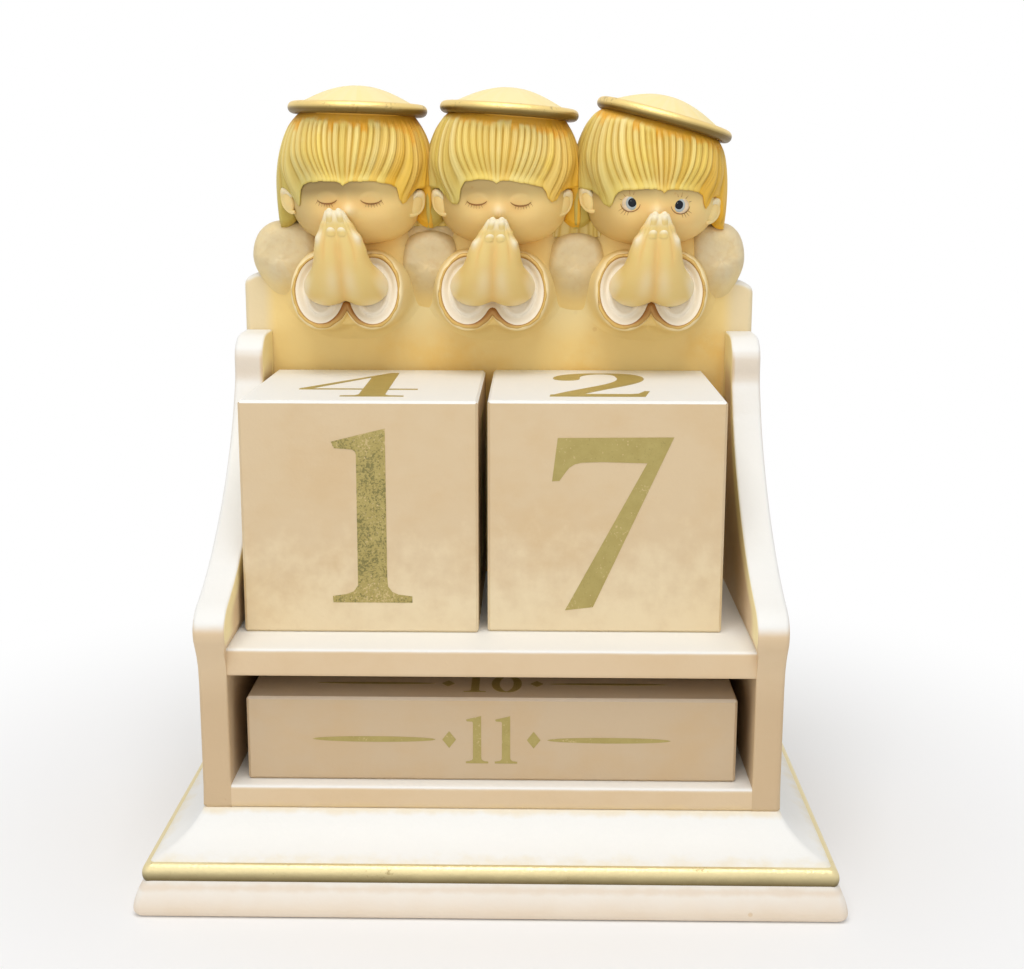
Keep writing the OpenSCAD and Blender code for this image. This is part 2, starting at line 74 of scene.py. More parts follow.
def length(name, description, default):
    return bpy.props.FloatProperty(name=name, description=description, default=default, unit="LENGTH",
                                   precision=5)


def colour(name, description, default):
    return bpy.props.FloatVectorProperty(name=name, description=description, default=default,
                                         subtype="COLOR", size=3, min=0, max=1)


class CalendarSizes(bpy.types.PropertyGroup):
    chin_drop: length("Chin", "Depth of the chin below the head's centre", 11.1 * MM)
    skull_up: length("Skull", "Height of the skull above the head's centre", 16.4 * MM)
    head_half: length("Head", "Half width of a head", 13.9 * MM)
    hair_half: length("Hair", "Half width of the hair at the ears", 16.6 * MM)
    fringe_thin: length("Fringe", "How much thinner the hair is over the forehead", 1.4 * MM)
    hair_up: length("Hair height", "Height of the hair's outer surface over the head's centre", 21.6 * MM)
    crown_up: length("Crown", "Height of the domed crown above its halo", 3.68 * MM)
    ridge: length("Ridge", "Height of the carved strands", 0.9 * MM)
    strands: bpy.props.IntProperty(name="Strands", description="Carved strands round a head", default=58)
    digit: length("Day numeral", "Height of the numerals on the day cubes", 33.8 * MM)
    month_digit: length("Month numeral", "Height of the numerals on the month bars", 9.5 * MM)
    month_band: length("Month band", "Length of the numeral with its two rules", 68.0 * MM)
    paint: length("Paint", "Thickness of the numerals' paint", 0.05 * MM)


class CalendarColours(bpy.types.PropertyGroup):
    cream: colour("Cream", "Paint of the stand", (0.73, 0.56, 0.36))
    # Pale is a painted highlight: tops turn this colour, as light falling from above makes them.
    pale: colour("Pale", "Paler paint on the tops of the stand and the blocks", (0.86, 0.87, 0.86))
    panel: colour("Panel", "Golden cream of the back panel and the robes", (0.93, 0.72, 0.31))
    # Painted light: the casting between two cherubs is lit paler.
    panel_painted_light: colour("Pale panel", "Pale yellow of the casting between two cherubs", (0.90, 0.82, 0.52))
    # Painted light and shade: an amber glow low on the panel, under the figures.
    panel_painted_glow: colour("Warm panel", "Amber shading low on the panel", (0.90, 0.56, 0.13))
    panel_ends: colour("Panel's ends", "Cream at both ends of the panel", (0.80, 0.68, 0.46))
    # Painted highlight: pale yellow towards the sleeves' lip round the cuffs.
    sleeve: colour("Sleeve", "Pale yellow in front of the robes' foot", (0.90, 0.77, 0.50))
    # Amber paint under the chin, lightened as painted light in the chin's shadow.
    robe_painted_light: colour("Warm robe", "Amber of the robe under the chin", (0.97, 0.66, 0.22))
    cuff_inside: colour("Cuff's inside", "White inside the cuffs", (0.92, 0.85, 0.72))
    wash: colour("Wash", "Antique wash that lies in the stand's recesses", (0.60, 0.36, 0.12))
    block: colour("Block", "Paint of the cubes", (0.70, 0.545, 0.345))
    # Painted reflected light: the cubes are paler low down, where light from the white shelf would reach.
    block_foot_bounce_light: colour("Block foot", "Paler paint low on the cubes", (0.88, 0.76, 0.52))
    bar: colour("Bar", "Paint of the bars", (0.60, 0.46, 0.30))
    slab: colour("Slab", "Paint of the base's slab", (0.82, 0.71, 0.58))
    cove: colour("Cove", "Paint of the base's cove", (0.89, 0.87, 0.84))
    cove_wash: colour("Cove wash", "Wash under the case's foot", (0.80, 0.64, 0.36))
    case_wash: colour("Case wash", "Wash along the case's foot", (0.80, 0.60, 0.30))
    # Painted light: the cheeks' inner sides, shaded by the cubes, painted pale yellow as if lit.
    cheek_inside_painted_light: colour("Cheek's inside", "Pale yellow of the cheeks' inner sides", (0.98, 0.86, 0.48))
    cheek_low: colour("Low cheek", "The cheeks under the shelf", (0.58, 0.42, 0.25))
    gilt_edge: colour("Gilt edge", "Gilding that runs onto the cove's foot", (0.80, 0.68, 0.40))
    bead: colour("Bead", "Gilding of the base's bead", (0.70, 0.60, 0.34))
    # Painted shade: dark gilding where the bead faces down.
    bead_painted_shade: colour("Bead's underside", "Dark gilding under the bead", (0.13, 0.095, 0.03))
    gold: colour("Gold", "Gilding of the halos", (0.84, 0.62, 0.22))
    # Painted shade: dark gilding where the halos face down.
    halo_painted_shade: colour("Bronze", "Dark gilding on the undersides of the halos", (0.15, 0.09, 0.015))
    numeral: colour("Numeral", "Olive gold of the numerals", (0.36, 0.28, 0.075))
    numeral_light: colour("Light numeral", "Brighter gold in the numerals", (0.47, 0.38, 0.13))
    numeral_dark: colour("Numeral specks", "Dark olive specks in worn numerals", (0.13, 0.12, 0.03))
    numeral_bare: colour("Numeral pits", "Cream pits in worn numerals", (0.80, 0.62, 0.36))
    ochre: colour("Ochre", "Line round the cuffs", (0.60, 0.37, 0.07))
    ochre_dark: colour("Dark ochre", "Dark parts of the line round the cuffs", (0.28, 0.10, 0.01))
    skin: colour("Skin", "Faces and ears", (0.92, 0.69, 0.28))
    # Painted highlights on the fingertips, knuckles, nose and ears' rims.
    skin_painted_highlight: colour("Pale skin", "Fingertips, nose and ears' rims", (0.93, 0.85, 0.66))
    hands: colour("Hands", "Hands", (0.80, 0.60, 0.225))
    # Blush is warm paint round the eyes and on the cheeks; under the jaw and in the hands' crease and folds
    # it is painted shade.
    blush: colour("Blush", "Warm paint round the eyes and on the cheeks", (0.80, 0.43, 0.12))
    # Brow: umber wash on the forehead with the painted shadow of the hair, and painted shade on each face's
    # left side.
    brow: colour("Brow", "Umber shading on the forehead", (0.27, 0.18, 0.06))
    hair: colour("Hair", "Strands", (0.91, 0.70, 0.16))
    hair_light: colour("Light hair", "Paler paint among the strands", (0.94, 0.80, 0.36))
    hair_shine: colour("Hair shine", "Strands that catch the light", (0.93, 0.84, 0.52))
    hair_warm: colour("Warm hair", "Strands on each head's left side", (0.86, 0.48, 0.03))
    hair_olive: colour("Olive hair", "Strands on each head's right side", (0.52, 0.43, 0.10))
    hair_deep: colour("Hair grooves", "Paint in the grooves between strands", (0.44, 0.25, 0.02))
    hair_band: colour("Hair band", "Orange paint under the halos", (0.80, 0.38, 0.01))
    crown: colour("Crown", "Light gold of the hair on top", (0.90, 0.77, 0.42))
    white: colour("White", "Wings", (0.73, 0.61, 0.38))
    lash: colour("Lash", "Painted lashes", (0.34, 0.15, 0.03))
    eye_white: colour("Eye", "Whites of the open eyes", (0.80, 0.62, 0.40))
    iris: colour("Iris", "Irises of the open eyes", (0.44, 0.50, 0.51))
    pupil: colour("Pupil", "Pupils of the open eyes", (0.003, 0.006, 0.013))
    glint: colour("Glint", "Painted glints on the pupils", (0.45, 0.5, 0.5))


def sizes():
    return bpy.context.scene.calendar_sizes


def colours():
    return bpy.context.scene.calendar_colours


# ---------- meshes ----------


def tube(points, tips=None):
    """Closes a grid of points, rows x around x 3, with a point at each end, in its row's middle.

    Row i, column j joins columns j and j + 1 (the last joins the first), so the grid is a skin
    round a solid. Gives the points and the faces."""
    rows, around = points.shape[:2]
    i = np.arange(rows - 1)[:, None] * around
    j = np.arange(around)[None, :]
    k = (j + 1) % around
    quads = np.stack([i + j, i + k, i + around + k, i + around + j], -1).reshape(-1, 4)
    j, k, last = j[0], k[0], (rows - 1) * around
    first_tip, last_tip = np.full(around, rows * around), np.full(around, rows * around + 1)
    ends = np.concatenate([np.stack([k, j, first_tip], -1), np.stack([last + j, last + k, last_tip], -1)])
    if tips is None:
        tips = np.stack([points[0].mean(0), points[-1].mean(0)])
    return np.concatenate([points.reshape(-1, 3), tips]), quads, ends


def hoop(points):
    """Joins the last row of a grid to its first, as on a ring. Gives the points and the faces."""
    rows, around = points.shape[:2]
    i = np.arange(rows)[:, None] * around
    h = (np.arange(rows)[:, None] + 1) % rows * around
    j = np.arange(around)[None, :]
    k = (j + 1) % around
    quads = np.stack([i + j, i + k, h + k, h + j], -1).reshape(-1, 4)
    return points.reshape(-1, 3), quads, np.zeros((0, 3), int)


def volume(points, faces):
    """Six times the signed volume: the sum of a . (b x c) over each face's fan of triangles."""
    total = 0.0
    for step in range(1, faces.shape[1] - 1):
        a, b, c = points[faces[:, 0]], points[faces[:, step]], points[faces[:, step + 1]]
        total += np.einsum("ij,ij->", a, np.cross(b, c))
    return total


def piece(name, shells, material, body=STAND, stands_for=(), values=None, smooth=True):
    """Makes one object of closed shells, turned so that their faces point outwards.

    values holds numbers for the material to read: a name, and one array for each shell."""
    points, faces, start = [], [], 0
    for shell_points, quads, ends in shells:
        if volume(shell_points, quads) + volume(shell_points, ends) < 0:
            quads, ends = quads[:, ::-1], ends[:, ::-1]
        points.append(shell_points)
        faces += (quads + start).tolist() + (ends + start).tolist()
        start += len(shell_points)
    mesh = bpy.data.meshes.new(name)
    mesh.from_pydata(np.concatenate(points).tolist(), [], faces)
    for key, arrays in (values or {}).items():
        layer = mesh.attributes.new(key, "FLOAT", "POINT")
        layer.data.foreach_set("value", np.concatenate(arrays).astype(np.float32))
    mesh.polygons.foreach_set("use_smooth", [smooth] * len(mesh.polygons))
    mesh.materials.append(material)
    mesh.update()
    made = bpy.data.objects.new(name, mesh)
    bpy.context.scene.collection.objects.link(made)
    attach(made, body)
    if stands_for:
        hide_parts(*stands_for)
    return made


def with_tips(grid):
    """Values of a grid for tube(): each end's middle point takes its row's mean."""
    return np.concatenate([grid.reshape(-1), [grid[0].mean(), grid[-1].mean()]])


def smoothstep(low, high, x):
    t = np.clip((x - low) / (high - low), 0, 1)
    return t * t * (3 - 2 * t)


def bump(x, y, half_x, half_y):
    """A soft round hill: exp(-(x / half_x)^2 - (y / half_y)^2)."""
    return np.exp(-(x / half_x) ** 2 - (y / half_y) ** 2)


# ---------- nodes ----------


def fill(tree, node, inputs):
    """Links a socket, or sets a value, at each named input of a node."""
    for key, value in inputs.items():
        if isinstance(value, bpy.types.NodeSocket):
            tree.links.new(value, node.inputs[key])
        else:
            node.inputs[key].default_value = value


def add(tree, kind, inputs=None, **settings):
    """Adds a node. settings go on the node, and inputs hold values or sockets to link."""
    node = tree.nodes.new("ShaderNode" + kind)
    for key, value in settings.items():
        setattr(node, key, value)
    fill(tree, node, inputs or {})
    return node


def math_node(tree, operation, a, b=0.0, clamp=False):
    return add(tree, "Math", {0: a, 1: b}, operation=operation, use_clamp=clamp).outputs[0]


def times(tree, a, b):
    return math_node(tree, "MULTIPLY", a, b)


def plus(tree, a, b, clamp=False):
    return math_node(tree, "ADD", a, b, clamp)


def minus(tree, a, b, clamp=False):
    return math_node(tree, "SUBTRACT", a, b, clamp)


def mixed(tree, factor, a, b):
    """Colour a turned into b by factor."""
    return add(tree, "Mix", {0: factor, 6: a, 7: b}, data_type="RGBA", blend_type="MIX").outputs[2]


def ramped(tree, value, low, high):
    """Value from 0 at low to 1 at high, eased."""
    node = add(tree, "MapRange", {0: value, 1: low, 2: high}, interpolation_type="SMOOTHSTEP")
    return node.outputs[0]


def noise(tree, vector, scale, detail=3.0, roughness=0.55):
    return add(tree, "TexNoise", {"Vector": vector, "Scale": scale, "Detail": detail,
                                  "Roughness": roughness}).outputs[0]


def here(tree):
    """The shaded point, in the piece's own coordinates."""
    return add(tree, "TexCoord").outputs["Object"]


def axes(tree, vector):
    """A vector's X, Y and Z."""
    return add(tree, "SeparateXYZ", {0: vector}).outputs


def value_of(tree, name):
    """A number that the piece's own points carry."""
    return add(tree, "Attribute", attribute_name=name).outputs["Fac"]


def rgba(value):
    return (*value, 1.0)


# ---------- node groups that several materials share ----------


def new_group(name, inputs, outputs):
    """A node group. inputs gives each input's default, which is a colour or a number.

    Gives the group, its inputs' sockets and the node that takes its outputs."""
    group = bpy.data.node_groups.new(name, "ShaderNodeTree")
    for key, default in inputs.items():
        kind = "NodeSocketFloat" if isinstance(default, float) else "NodeSocketColor"
        group.interface.new_socket(name=key, in_out="INPUT", socket_type=kind).default_value = default
    for key in outputs:
        kind = "NodeSocketColor" if key == "Color" else "NodeSocketFloat"
        group.interface.new_socket(name=key, in_out="OUTPUT", socket_type=kind)
    return group, group.nodes.new("NodeGroupInput").outputs, group.nodes.new("NodeGroupOutput")


def aged_paint():
    """Hand-laid paint: broad mottling, brushed streaks, fine stipple and a few specks.

    Gives a colour between the paint and its wash, a roughness and a height."""
    group, given, out = new_group(
        "Aged Paint", {"Paint": (0.8, 0.7, 0.5, 1), "Wash": (0.5, 0.3, 0.1, 1), "Amount": 0.3,
                       "Scale": 60.0}, ("Color", "Roughness", "Height"))
    place, scale = here(group), given["Scale"]
    broad = noise(group, place, scale)
    streaked = add(group, "Mapping", {"Vector": place, "Scale": (0.8, 0.9, 1.2)}).outputs[0]
    streaks = noise(group, streaked, times(group, scale, 5.0), 4.0)
    stipple = noise(group, place, times(group, scale, 26.0), 2.0)
    specks = add(group, "TexVoronoi", {"Vector": place, "Scale": times(group, scale, 3.4)})
    speck = minus(group, 1.0, ramped(group, specks.outputs["Distance"], 0.05, 0.09))
    rare = ramped(group, noise(group, place, times(group, scale, 1.7)), 0.58, 0.64)
    speck = times(group, speck, rare)
    blotch = plus(group, times(group, broad, 0.7), times(group, streaks, 0.3))
    share = times(group, ramped(group, blotch, 0.42, 0.68), given["Amount"])
    share = plus(group, share, times(group, speck, 0.35), True)
    height = plus(group, times(group, stipple, 0.6), times(group, streaks, 0.5))
    fill(group, out, {"Color": mixed(group, share, given["Paint"], given["Wash"]),
                      "Roughness": plus(group, 0.42, times(group, streaks, 0.26)),
                      "Height": minus(group, height, times(group, speck, 0.8))})
    return group


def wash_and_light_band():
    """A band round one level: 1 at the level, fading over the spread. It lays settled wash, and also
    painted light low on the cubes and on the panel.

    The edge is broken up, so that it looks brushed and not ruled."""
    group, given, out = new_group("Wash And Light Band", {"Level": 0.0, "Spread": 0.004}, ("Mask",))
    place = here(group)
    away = math_node(group, "ABSOLUTE", minus(group, axes(group, place)["Z"], given["Level"]))
    share = math_node(group, "DIVIDE", away, given["Spread"])
    ragged = times(group, noise(group, place, 260.0, 5.0), 1.5)
    share = plus(group, share, minus(group, ragged, 0.75))
    fill(group, out, {"Mask": minus(group, 1.0, ramped(group, share, 0.0, 1.0))})
    return group


def upward():
    """How far a surface faces up: 0 on a wall and 1 on a level top, broken up a little by noise.
    The Mask lays painted highlights on tops.

    Under is the same for surfaces that face down, and lays painted shade on them."""
    group, _, out = new_group("Upward", {}, ("Mask", "Under"))
    lift = axes(group, add(group, "NewGeometry").outputs["Normal"])["Z"]
    broken = times(group, noise(group, here(group), 180.0, 4.0), 0.2)
    fill(group, out, {"Mask": ramped(group, plus(group, lift, broken), 0.12, 0.7),
                      "Under": ramped(group, minus(group, broken, lift), -0.4, 0.5)})
    return group


def gilding():
    """Metal paint rubbed thin: brown shows through in worn patches and fine scratches."""
    group, given, out = new_group(
        "Gilding", {"Gold": (0.6, 0.45, 0.15, 1), "Under": (0.2, 0.12, 0.03, 1), "Wear": 0.5},
        ("Color", "Roughness", "Height"))
    place = here(group)
    patches = noise(group, place, 170.0, 6.0, 0.65)
    flecks = noise(group, place, 1500.0, 3.0, 0.6)
    worn = plus(group, times(group, patches, 0.65), times(group, flecks, 0.35))
    limit = minus(group, 0.72, times(group, given["Wear"], 0.28))
    bare = ramped(group, minus(group, worn, limit), 0.0, 0.1)
    tone = mixed(group, times(group, bare, 0.75), given["Gold"], given["Under"])
    fill(group, out, {"Color": mixed(group, times(group, flecks, 0.3), tone, (0.9, 0.75, 0.4, 1)),
                      "Roughness": plus(group, 0.26, times(group, worn, 0.3)),
                      "Height": minus(group, flecks, bare)})
    return group


def light_between_mask():
    """Painted light, pale on the casting between two cherubs: a wave across x, above the cuffs' foot.

    The mask is cos(2 * pi * (x - start) / pitch), raised to a soft band, times a rise in z."""
    group, given, out = new_group("Between figures", {"Start": -0.0162, "Pitch": 0.0316}, ("Mask",))
    place = axes(group, here(group))
    run = minus(group, place["X"], given["Start"])
    turns = times(group, math_node(group, "DIVIDE", run, given["Pitch"]), 2 * math.pi)
    band = ramped(group, math_node(group, "COSINE", turns), 0.0, 1.0)
    high = ramped(group, place["Z"], 98 * MM, 107 * MM)
    inner = ramped(group, math_node(group, "ABSOLUTE", place["X"]), 31 * MM, 27 * MM)
    fill(group, out, {"Mask": times(group, times(group, band, high), inner)})
    return group


GROUPS = {}


def shared(tree, maker, **inputs):
    """Places a shared group, built on its first use, and gives its outputs."""
    if maker not in GROUPS:
        GROUPS[maker] = maker()
    node = tree.nodes.new("ShaderNodeGroup")
    node.node_tree = GROUPS[maker]
    fill(tree, node, inputs)
    return node.outputs


# ---------- materials ----------


def new_material(name):
    """A material, its node tree and its Principled shader."""
    material = bpy.data.materials.new(name)
    material.use_nodes = True
    return material, material.node_tree, material.node_tree.nodes["Principled BSDF"]


def finish_shader(tree, shader, tone, rough, height, depth, distance, **others):
    """Feeds a colour, a roughness and a bumped normal to the shader.

    others are its further inputs. Spaces in their names are underscores here."""
    raised = add(tree, "Bump", {"Strength": depth, "Distance": distance, "Height": height})
    fill(tree, shader, {"Base Color": tone, "Roughness": rough, "Normal": raised.outputs[0]})
    fill(tree, shader, {key.replace("_", " "): value for key, value in others.items()})


def resin(name, paint, amount=0.22, settle=None, wash=None, wash_share=0.5, gilt_to=None, tops=0.95,
          pale_foot=None, over=None):
    """Satin paint of the stand and the blocks, paler on top faces by the share tops: a painted highlight.

    settle is the level where the wash has gathered, and its spread. Below gilt_to it is gilded.
    pale_foot is a level up to which it is paler: a painted reflection of light from the shelf below.
    over paints further on the finished colour."""
    material, tree, shader = new_material(name)
    c = colours()
    base = shared(tree, aged_paint, Paint=rgba(paint), Wash=rgba(c.wash), Amount=amount, Scale=48.0)
    top = shared(tree, upward)["Mask"]

    def near(level, spread, share):
        """Share of a tone that lies round a level."""
        return times(tree, shared(tree, wash_and_light_band, Level=level, Spread=spread)["Mask"], share)

    tone = base["Color"]
    if pale_foot is not None:
        # Painted reflection of the shelf's light, low on the cubes.
        tone = mixed(tree, near(pale_foot, 26 * MM, 0.6), tone, rgba(c.block_foot_bounce_light))
    # Painted highlight: the top faces turn pale, as if lit from above.
    tone = mixed(tree, times(tree, top, tops), tone, rgba(c.pale))
    if settle is not None:
        tone = mixed(tree, near(*settle, wash_share), tone, rgba(wash or c.wash))
    if gilt_to is not None:
        tone = mixed(tree, near(gilt_to - 2 * MM, 2 * MM, 0.5), tone, rgba(c.gilt_edge))
    if over is not None:
        tone = over(tree, tone)
    finish_shader(tree, shader, tone, base["Roughness"], base["Height"], 0.22, 0.0004,
                  Specular_IOR_Level=0.35)
    return material


def cheek_paint(foot, shelf, inner):
    """The cheeks: the case's paint, with painted light, pale yellow, on their inner sides, a painted
    highlight on their upper part, and darker under the shelf.
    """
    c = colours()

    def sides(tree, tone):
        place = axes(tree, here(tree))
        across, z = math_node(tree, "ABSOLUTE", place["X"]), place["Z"]
        inside = times(tree, ramped(tree, across, inner - 0.48 * MM, inner - 0.56 * MM),
                       ramped(tree, z, shelf, shelf + 3 * MM))
        # Painted light on the inner sides above the shelf.
        tone = mixed(tree, times(tree, inside, 0.9), tone, rgba(c.cheek_inside_painted_light))
        # Painted highlight: the upper cheeks, away from the inner faces, turn paler.
        high = times(tree, ramped(tree, z, shelf + 3 * MM, shelf + 12 * MM), 0.5)
        high = times(tree, high, ramped(tree, across, inner - 0.3 * MM, inner + 0.3 * MM))
        tone = mixed(tree, high, tone, rgba(c.pale))
        low = times(tree, ramped(tree, z, shelf - 2 * MM, shelf - 12 * MM), 0.7)
        return mixed(tree, low, tone, rgba(c.cheek_low))

    return resin("cheek_paint", c.cream, 0.14, (foot, 1.4 * MM), c.case_wash, over=sides)


def painted_light_between(tree, tone):
    """Lays the painted light, a pale yellow, between the figures."""
    between = times(tree, shared(tree, light_between_mask)["Mask"], 0.6)
    return mixed(tree, between, tone, rgba(colours().panel_painted_light))


def panel_paint():
    """The panel: golden cream, a painted amber glow and shade low down, pale at both ends, painted light
    between the figures, and a painted highlight on its top edge.
    """
    material, tree, shader = new_material("panel_paint")
    c = colours()
    base = shared(tree, aged_paint, Paint=rgba(c.panel), Wash=rgba(c.wash), Amount=0.12, Scale=40.0)
    place = here(tree)
    # Painted glow and shade: amber patches low on the panel.
    low = shared(tree, wash_and_light_band, Level=88 * MM, Spread=20 * MM)["Mask"]
    patch = ramped(tree, noise(tree, place, 38.0, 2.0), 0.42, 0.62)
    amber = times(tree, times(tree, low, patch), 0.6)
    tone = painted_light_between(tree, mixed(tree, amber, base["Color"], rgba(c.panel_painted_glow)))
    across = math_node(tree, "ABSOLUTE", axes(tree, place)["X"])
    ends = times(tree, ramped(tree, across, 47.5 * MM, 51 * MM), 0.8)
    tone = mixed(tree, ends, tone, rgba(c.panel_ends))
    # Painted highlight on the panel's top edge.
    tone = mixed(tree, times(tree, shared(tree, upward)["Mask"], 0.8), tone, rgba(c.pale))
    finish_shader(tree, shader, tone, base["Roughness"], base["Height"], 0.2, 0.0004,
                  Specular_IOR_Level=0.35)
    return material


def robe_material():
    """Cloth: the panel's golden cream with painted light between the figures; a painted highlight
    towards the cuffs' lip, where shade falls below 1; amber paint under the chin, lightened as painted
    light in the chin's shadow, where shade passes 1; and white inside the cuffs."""
    material, tree, shader = new_material("robe_paint")
    c = colours()
    base = shared(tree, aged_paint, Paint=rgba(c.panel), Wash=rgba(c.wash), Amount=0.12, Scale=48.0)
    shade = value_of(tree, "shade")
    tone = painted_light_between(tree, base["Color"])
    # Painted highlight towards the cuffs' lip.
    near = times(tree, minus(tree, 1.0, shade, True), 0.6)
    tone = mixed(tree, near, tone, rgba(c.sleeve))
    # Painted light: amber under the chin, lighter than its shadow.
    tone = mixed(tree, minus(tree, shade, 1.0, True), tone, rgba(c.robe_painted_light))
    tone = mixed(tree, value_of(tree, "inside"), tone, rgba(c.cuff_inside))
    finish_shader(tree, shader, tone, base["Roughness"], base["Height"], 0.22, 0.0004,
                  Specular_IOR_Level=0.3)
    return material


def gold_material(name, wear, gold, under):
    """Gilding with painted shade: it darkens where the surface turns down."""
    material, tree, shader = new_material(name)
    gilt = shared(tree, gilding, Gold=rgba(gold), Wear=wear)
    down = times(tree, shared(tree, upward)["Under"], 0.92)
    tone = mixed(tree, down, gilt["Color"], rgba(under))
    finish_shader(tree, shader, tone, gilt["Roughness"], gilt["Height"], 0.3, 0.0003, Metallic=0.7)
    return material


def skin_material(name, paint):
    """Skin paint, from the piece's own values: blush, which is painted shade under the jaw and in the
    hands' crease; painted highlights on the tips, knuckles, nose and ears; and the forehead's umber
    wash with painted shadow and shade.
    """
    material, tree, shader = new_material(name)
    c = colours()
    base = shared(tree, aged_paint, Paint=rgba(paint), Wash=rgba(c.blush), Amount=0.12, Scale=70.0)
    tone = mixed(tree, times(tree, value_of(tree, "brow"), 0.9), base["Color"], rgba(c.brow))
    tone = mixed(tree, value_of(tree, "blush"), tone, rgba(c.blush))
    # Painted highlights where the piece's pale value says.
    tone = mixed(tree, value_of(tree, "pale"), tone, rgba(c.skin_painted_highlight))
    finish_shader(tree, shader, tone, base["Roughness"], base["Height"], 0.12, 0.0003,
                  Specular_IOR_Level=0.45, Subsurface_Weight=0.12,
                  Subsurface_Radius=(0.002, 0.001, 0.0005), Subsurface_Scale=0.6)
    return material


def hair_material():
    """Carved strands, read from the piece's own values: groove 0 on a ridge and 1 in a groove, band
    1 under the halo, warm and olive towards the two sides, shine on some ridges, crown on the top."""
    material, tree, shader = new_material("hair_paint")
    c = colours()
    base = shared(tree, aged_paint, Paint=rgba(c.hair), Wash=rgba(c.hair_light), Amount=0.5, Scale=90.0)
    tone = mixed(tree, value_of(tree, "warm"), base["Color"], rgba(c.hair_warm))
    tone = mixed(tree, value_of(tree, "olive"), tone, rgba(c.hair_olive))
    tone = mixed(tree, times(tree, value_of(tree, "shine"), 0.55), tone, rgba(c.hair_shine))
    tone = mixed(tree, times(tree, value_of(tree, "groove"), 0.95), tone, rgba(c.hair_deep))
    ragged = noise(tree, here(tree), 420.0, 4.0)
    band = plus(tree, value_of(tree, "band"), times(tree, ragged, 0.7))
    tone = mixed(tree, times(tree, ramped(tree, band, 0.75, 1.15), 0.85), tone, rgba(c.hair_band))
    tone = mixed(tree, value_of(tree, "crown"), tone, rgba(c.crown))
    finish_shader(tree, shader, tone, base["Roughness"], base["Height"], 0.15, 0.0003,
                  Specular_IOR_Level=0.4)
    return material


def stippled(name, paint):
    """Wings: off-white with a dabbed surface. shade blends their foot into the panel's paint."""
    material, tree, shader = new_material(name)
    c = colours()
    base = shared(tree, aged_paint, Paint=rgba(paint), Wash=rgba(c.panel), Amount=0.35, Scale=80.0)
    dabs = noise(tree, here(tree), 700.0, 3.0, 0.6)
    low = minus(tree, 1.0, ramped(tree, dabs, 0.3, 0.55))
    tone = mixed(tree, times(tree, low, 0.16), base["Color"], rgba(c.wash))
    tone = mixed(tree, value_of(tree, "shade"), tone, rgba(c.panel))
    finish_shader(tree, shader, tone, base["Roughness"], dabs, 0.3, 0.0004)
    return material


def lined(name, gold, dark):
    """Hand-drawn ochre line, darker where its own value says so."""
    material, tree, shader = new_material(name)
    gilt = shared(tree, gilding, Gold=rgba(gold), Under=rgba(dark), Wear=0.55)
    tone = mixed(tree, value_of(tree, "shade"), gilt["Color"], rgba(dark))
    finish_shader(tree, shader, tone, gilt["Roughness"], gilt["Height"], 0.3, 0.0003, Metallic=0.25)
    return material


def numeral_material(name, wear):
    """Olive gold transfer. Dark olive specks and worn cream pits grow with its wear, in patches."""
    material, tree, shader = new_material(name)
    c = colours()
    place = here(tree)
    fine = noise(tree, place, 2600.0, 2.0, 0.8)
    patch = times(tree, noise(tree, place, 150.0, 4.0, 0.6), 0.4)
    gold = mixed(tree, noise(tree, place, 500.0, 4.0), rgba(c.numeral), rgba(c.numeral_light))
    spots = plus(tree, times(tree, fine, 0.6), patch)
    dark = ramped(tree, spots, 0.62 - 0.10 * wear, 0.68 - 0.10 * wear)
    tone = mixed(tree, times(tree, dark, 0.75 * wear), gold, rgba(c.numeral_dark))
    thin = minus(tree, times(tree, noise(tree, place, 2100.0, 2.0, 0.7), 0.6), patch)
    bare = ramped(tree, thin, 0.21 - 0.06 * wear, 0.26 - 0.06 * wear)
    tone = mixed(tree, times(tree, bare, 0.45), tone, rgba(c.numeral_bare))
    rough = plus(tree, 0.34, times(tree, bare, 0.3))
    finish_shader(tree, shader, tone, rough, fine, 0.2, 0.0002, Metallic=0.2)
    return material


def flat_paint(name, paint, rough=0.35, glossy=0.4):
    """A small spot of brushed colour with uneven cover."""
    material, tree, shader = new_material(name)
    thin = rgba([0.6 * v for v in paint])
    base = shared(tree, aged_paint, Paint=rgba(paint), Wash=thin, Amount=0.5, Scale=500.0)
    finish_shader(tree, shader, base["Color"], base["Roughness"], base["Height"], 0.1, 0.0001,
                  Coat_Weight=0.3, Coat_Roughness=rough, Specular_IOR_Level=glossy)
    return material


# ---------- forms of the casting ----------


def outline_of(node, axis, centre, spacing, ease):
    """The CAD node's outline seen along an axis, evenly spaced, with its corners eased.

    Its corner points are put in order by their direction from the centre, a share of the box. Then
    a running mean of the given length rounds them off. Gives the two other axes and the points."""
    low, high = corners(node)
    kept = [k for k in range(3) if k != axis]
    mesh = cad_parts[node].data
    points = np.empty(3 * len(mesh.vertices))
    mesh.vertices.foreach_get("co", points)
    points = points.reshape(-1, 3)
    rim = points[np.abs(points[:, axis] - high[axis]) < 1e-6][:, kept]
    rim = np.unique(np.round(rim, 7), axis=0)
    middle = low[kept] + np.array(centre) * (high - low)[kept]
    rim = rim[np.argsort(np.arctan2(*(rim - middle).T[::-1]))]
    rim = np.concatenate([rim, rim[:1]])
    run = np.concatenate([[0], np.cumsum(np.linalg.norm(np.diff(rim, axis=0), axis=1))])
    count = int(run[-1] / spacing)
    at = np.linspace(0, run[-1], count, endpoint=False)
    even = np.stack([np.interp(at, run, rim[:, k]) for k in (0, 1)], -1)
    width = 2 * int(ease / spacing / 2) + 1
    kernel = np.hanning(width + 2)[1:-1]
    padded = np.concatenate([even[-width:], even, even[:width]])
    even = np.stack([np.convolve(column, kernel / kernel.sum(), "same") for column in padded.T], -1)
    return kept, even[width:-width], middle


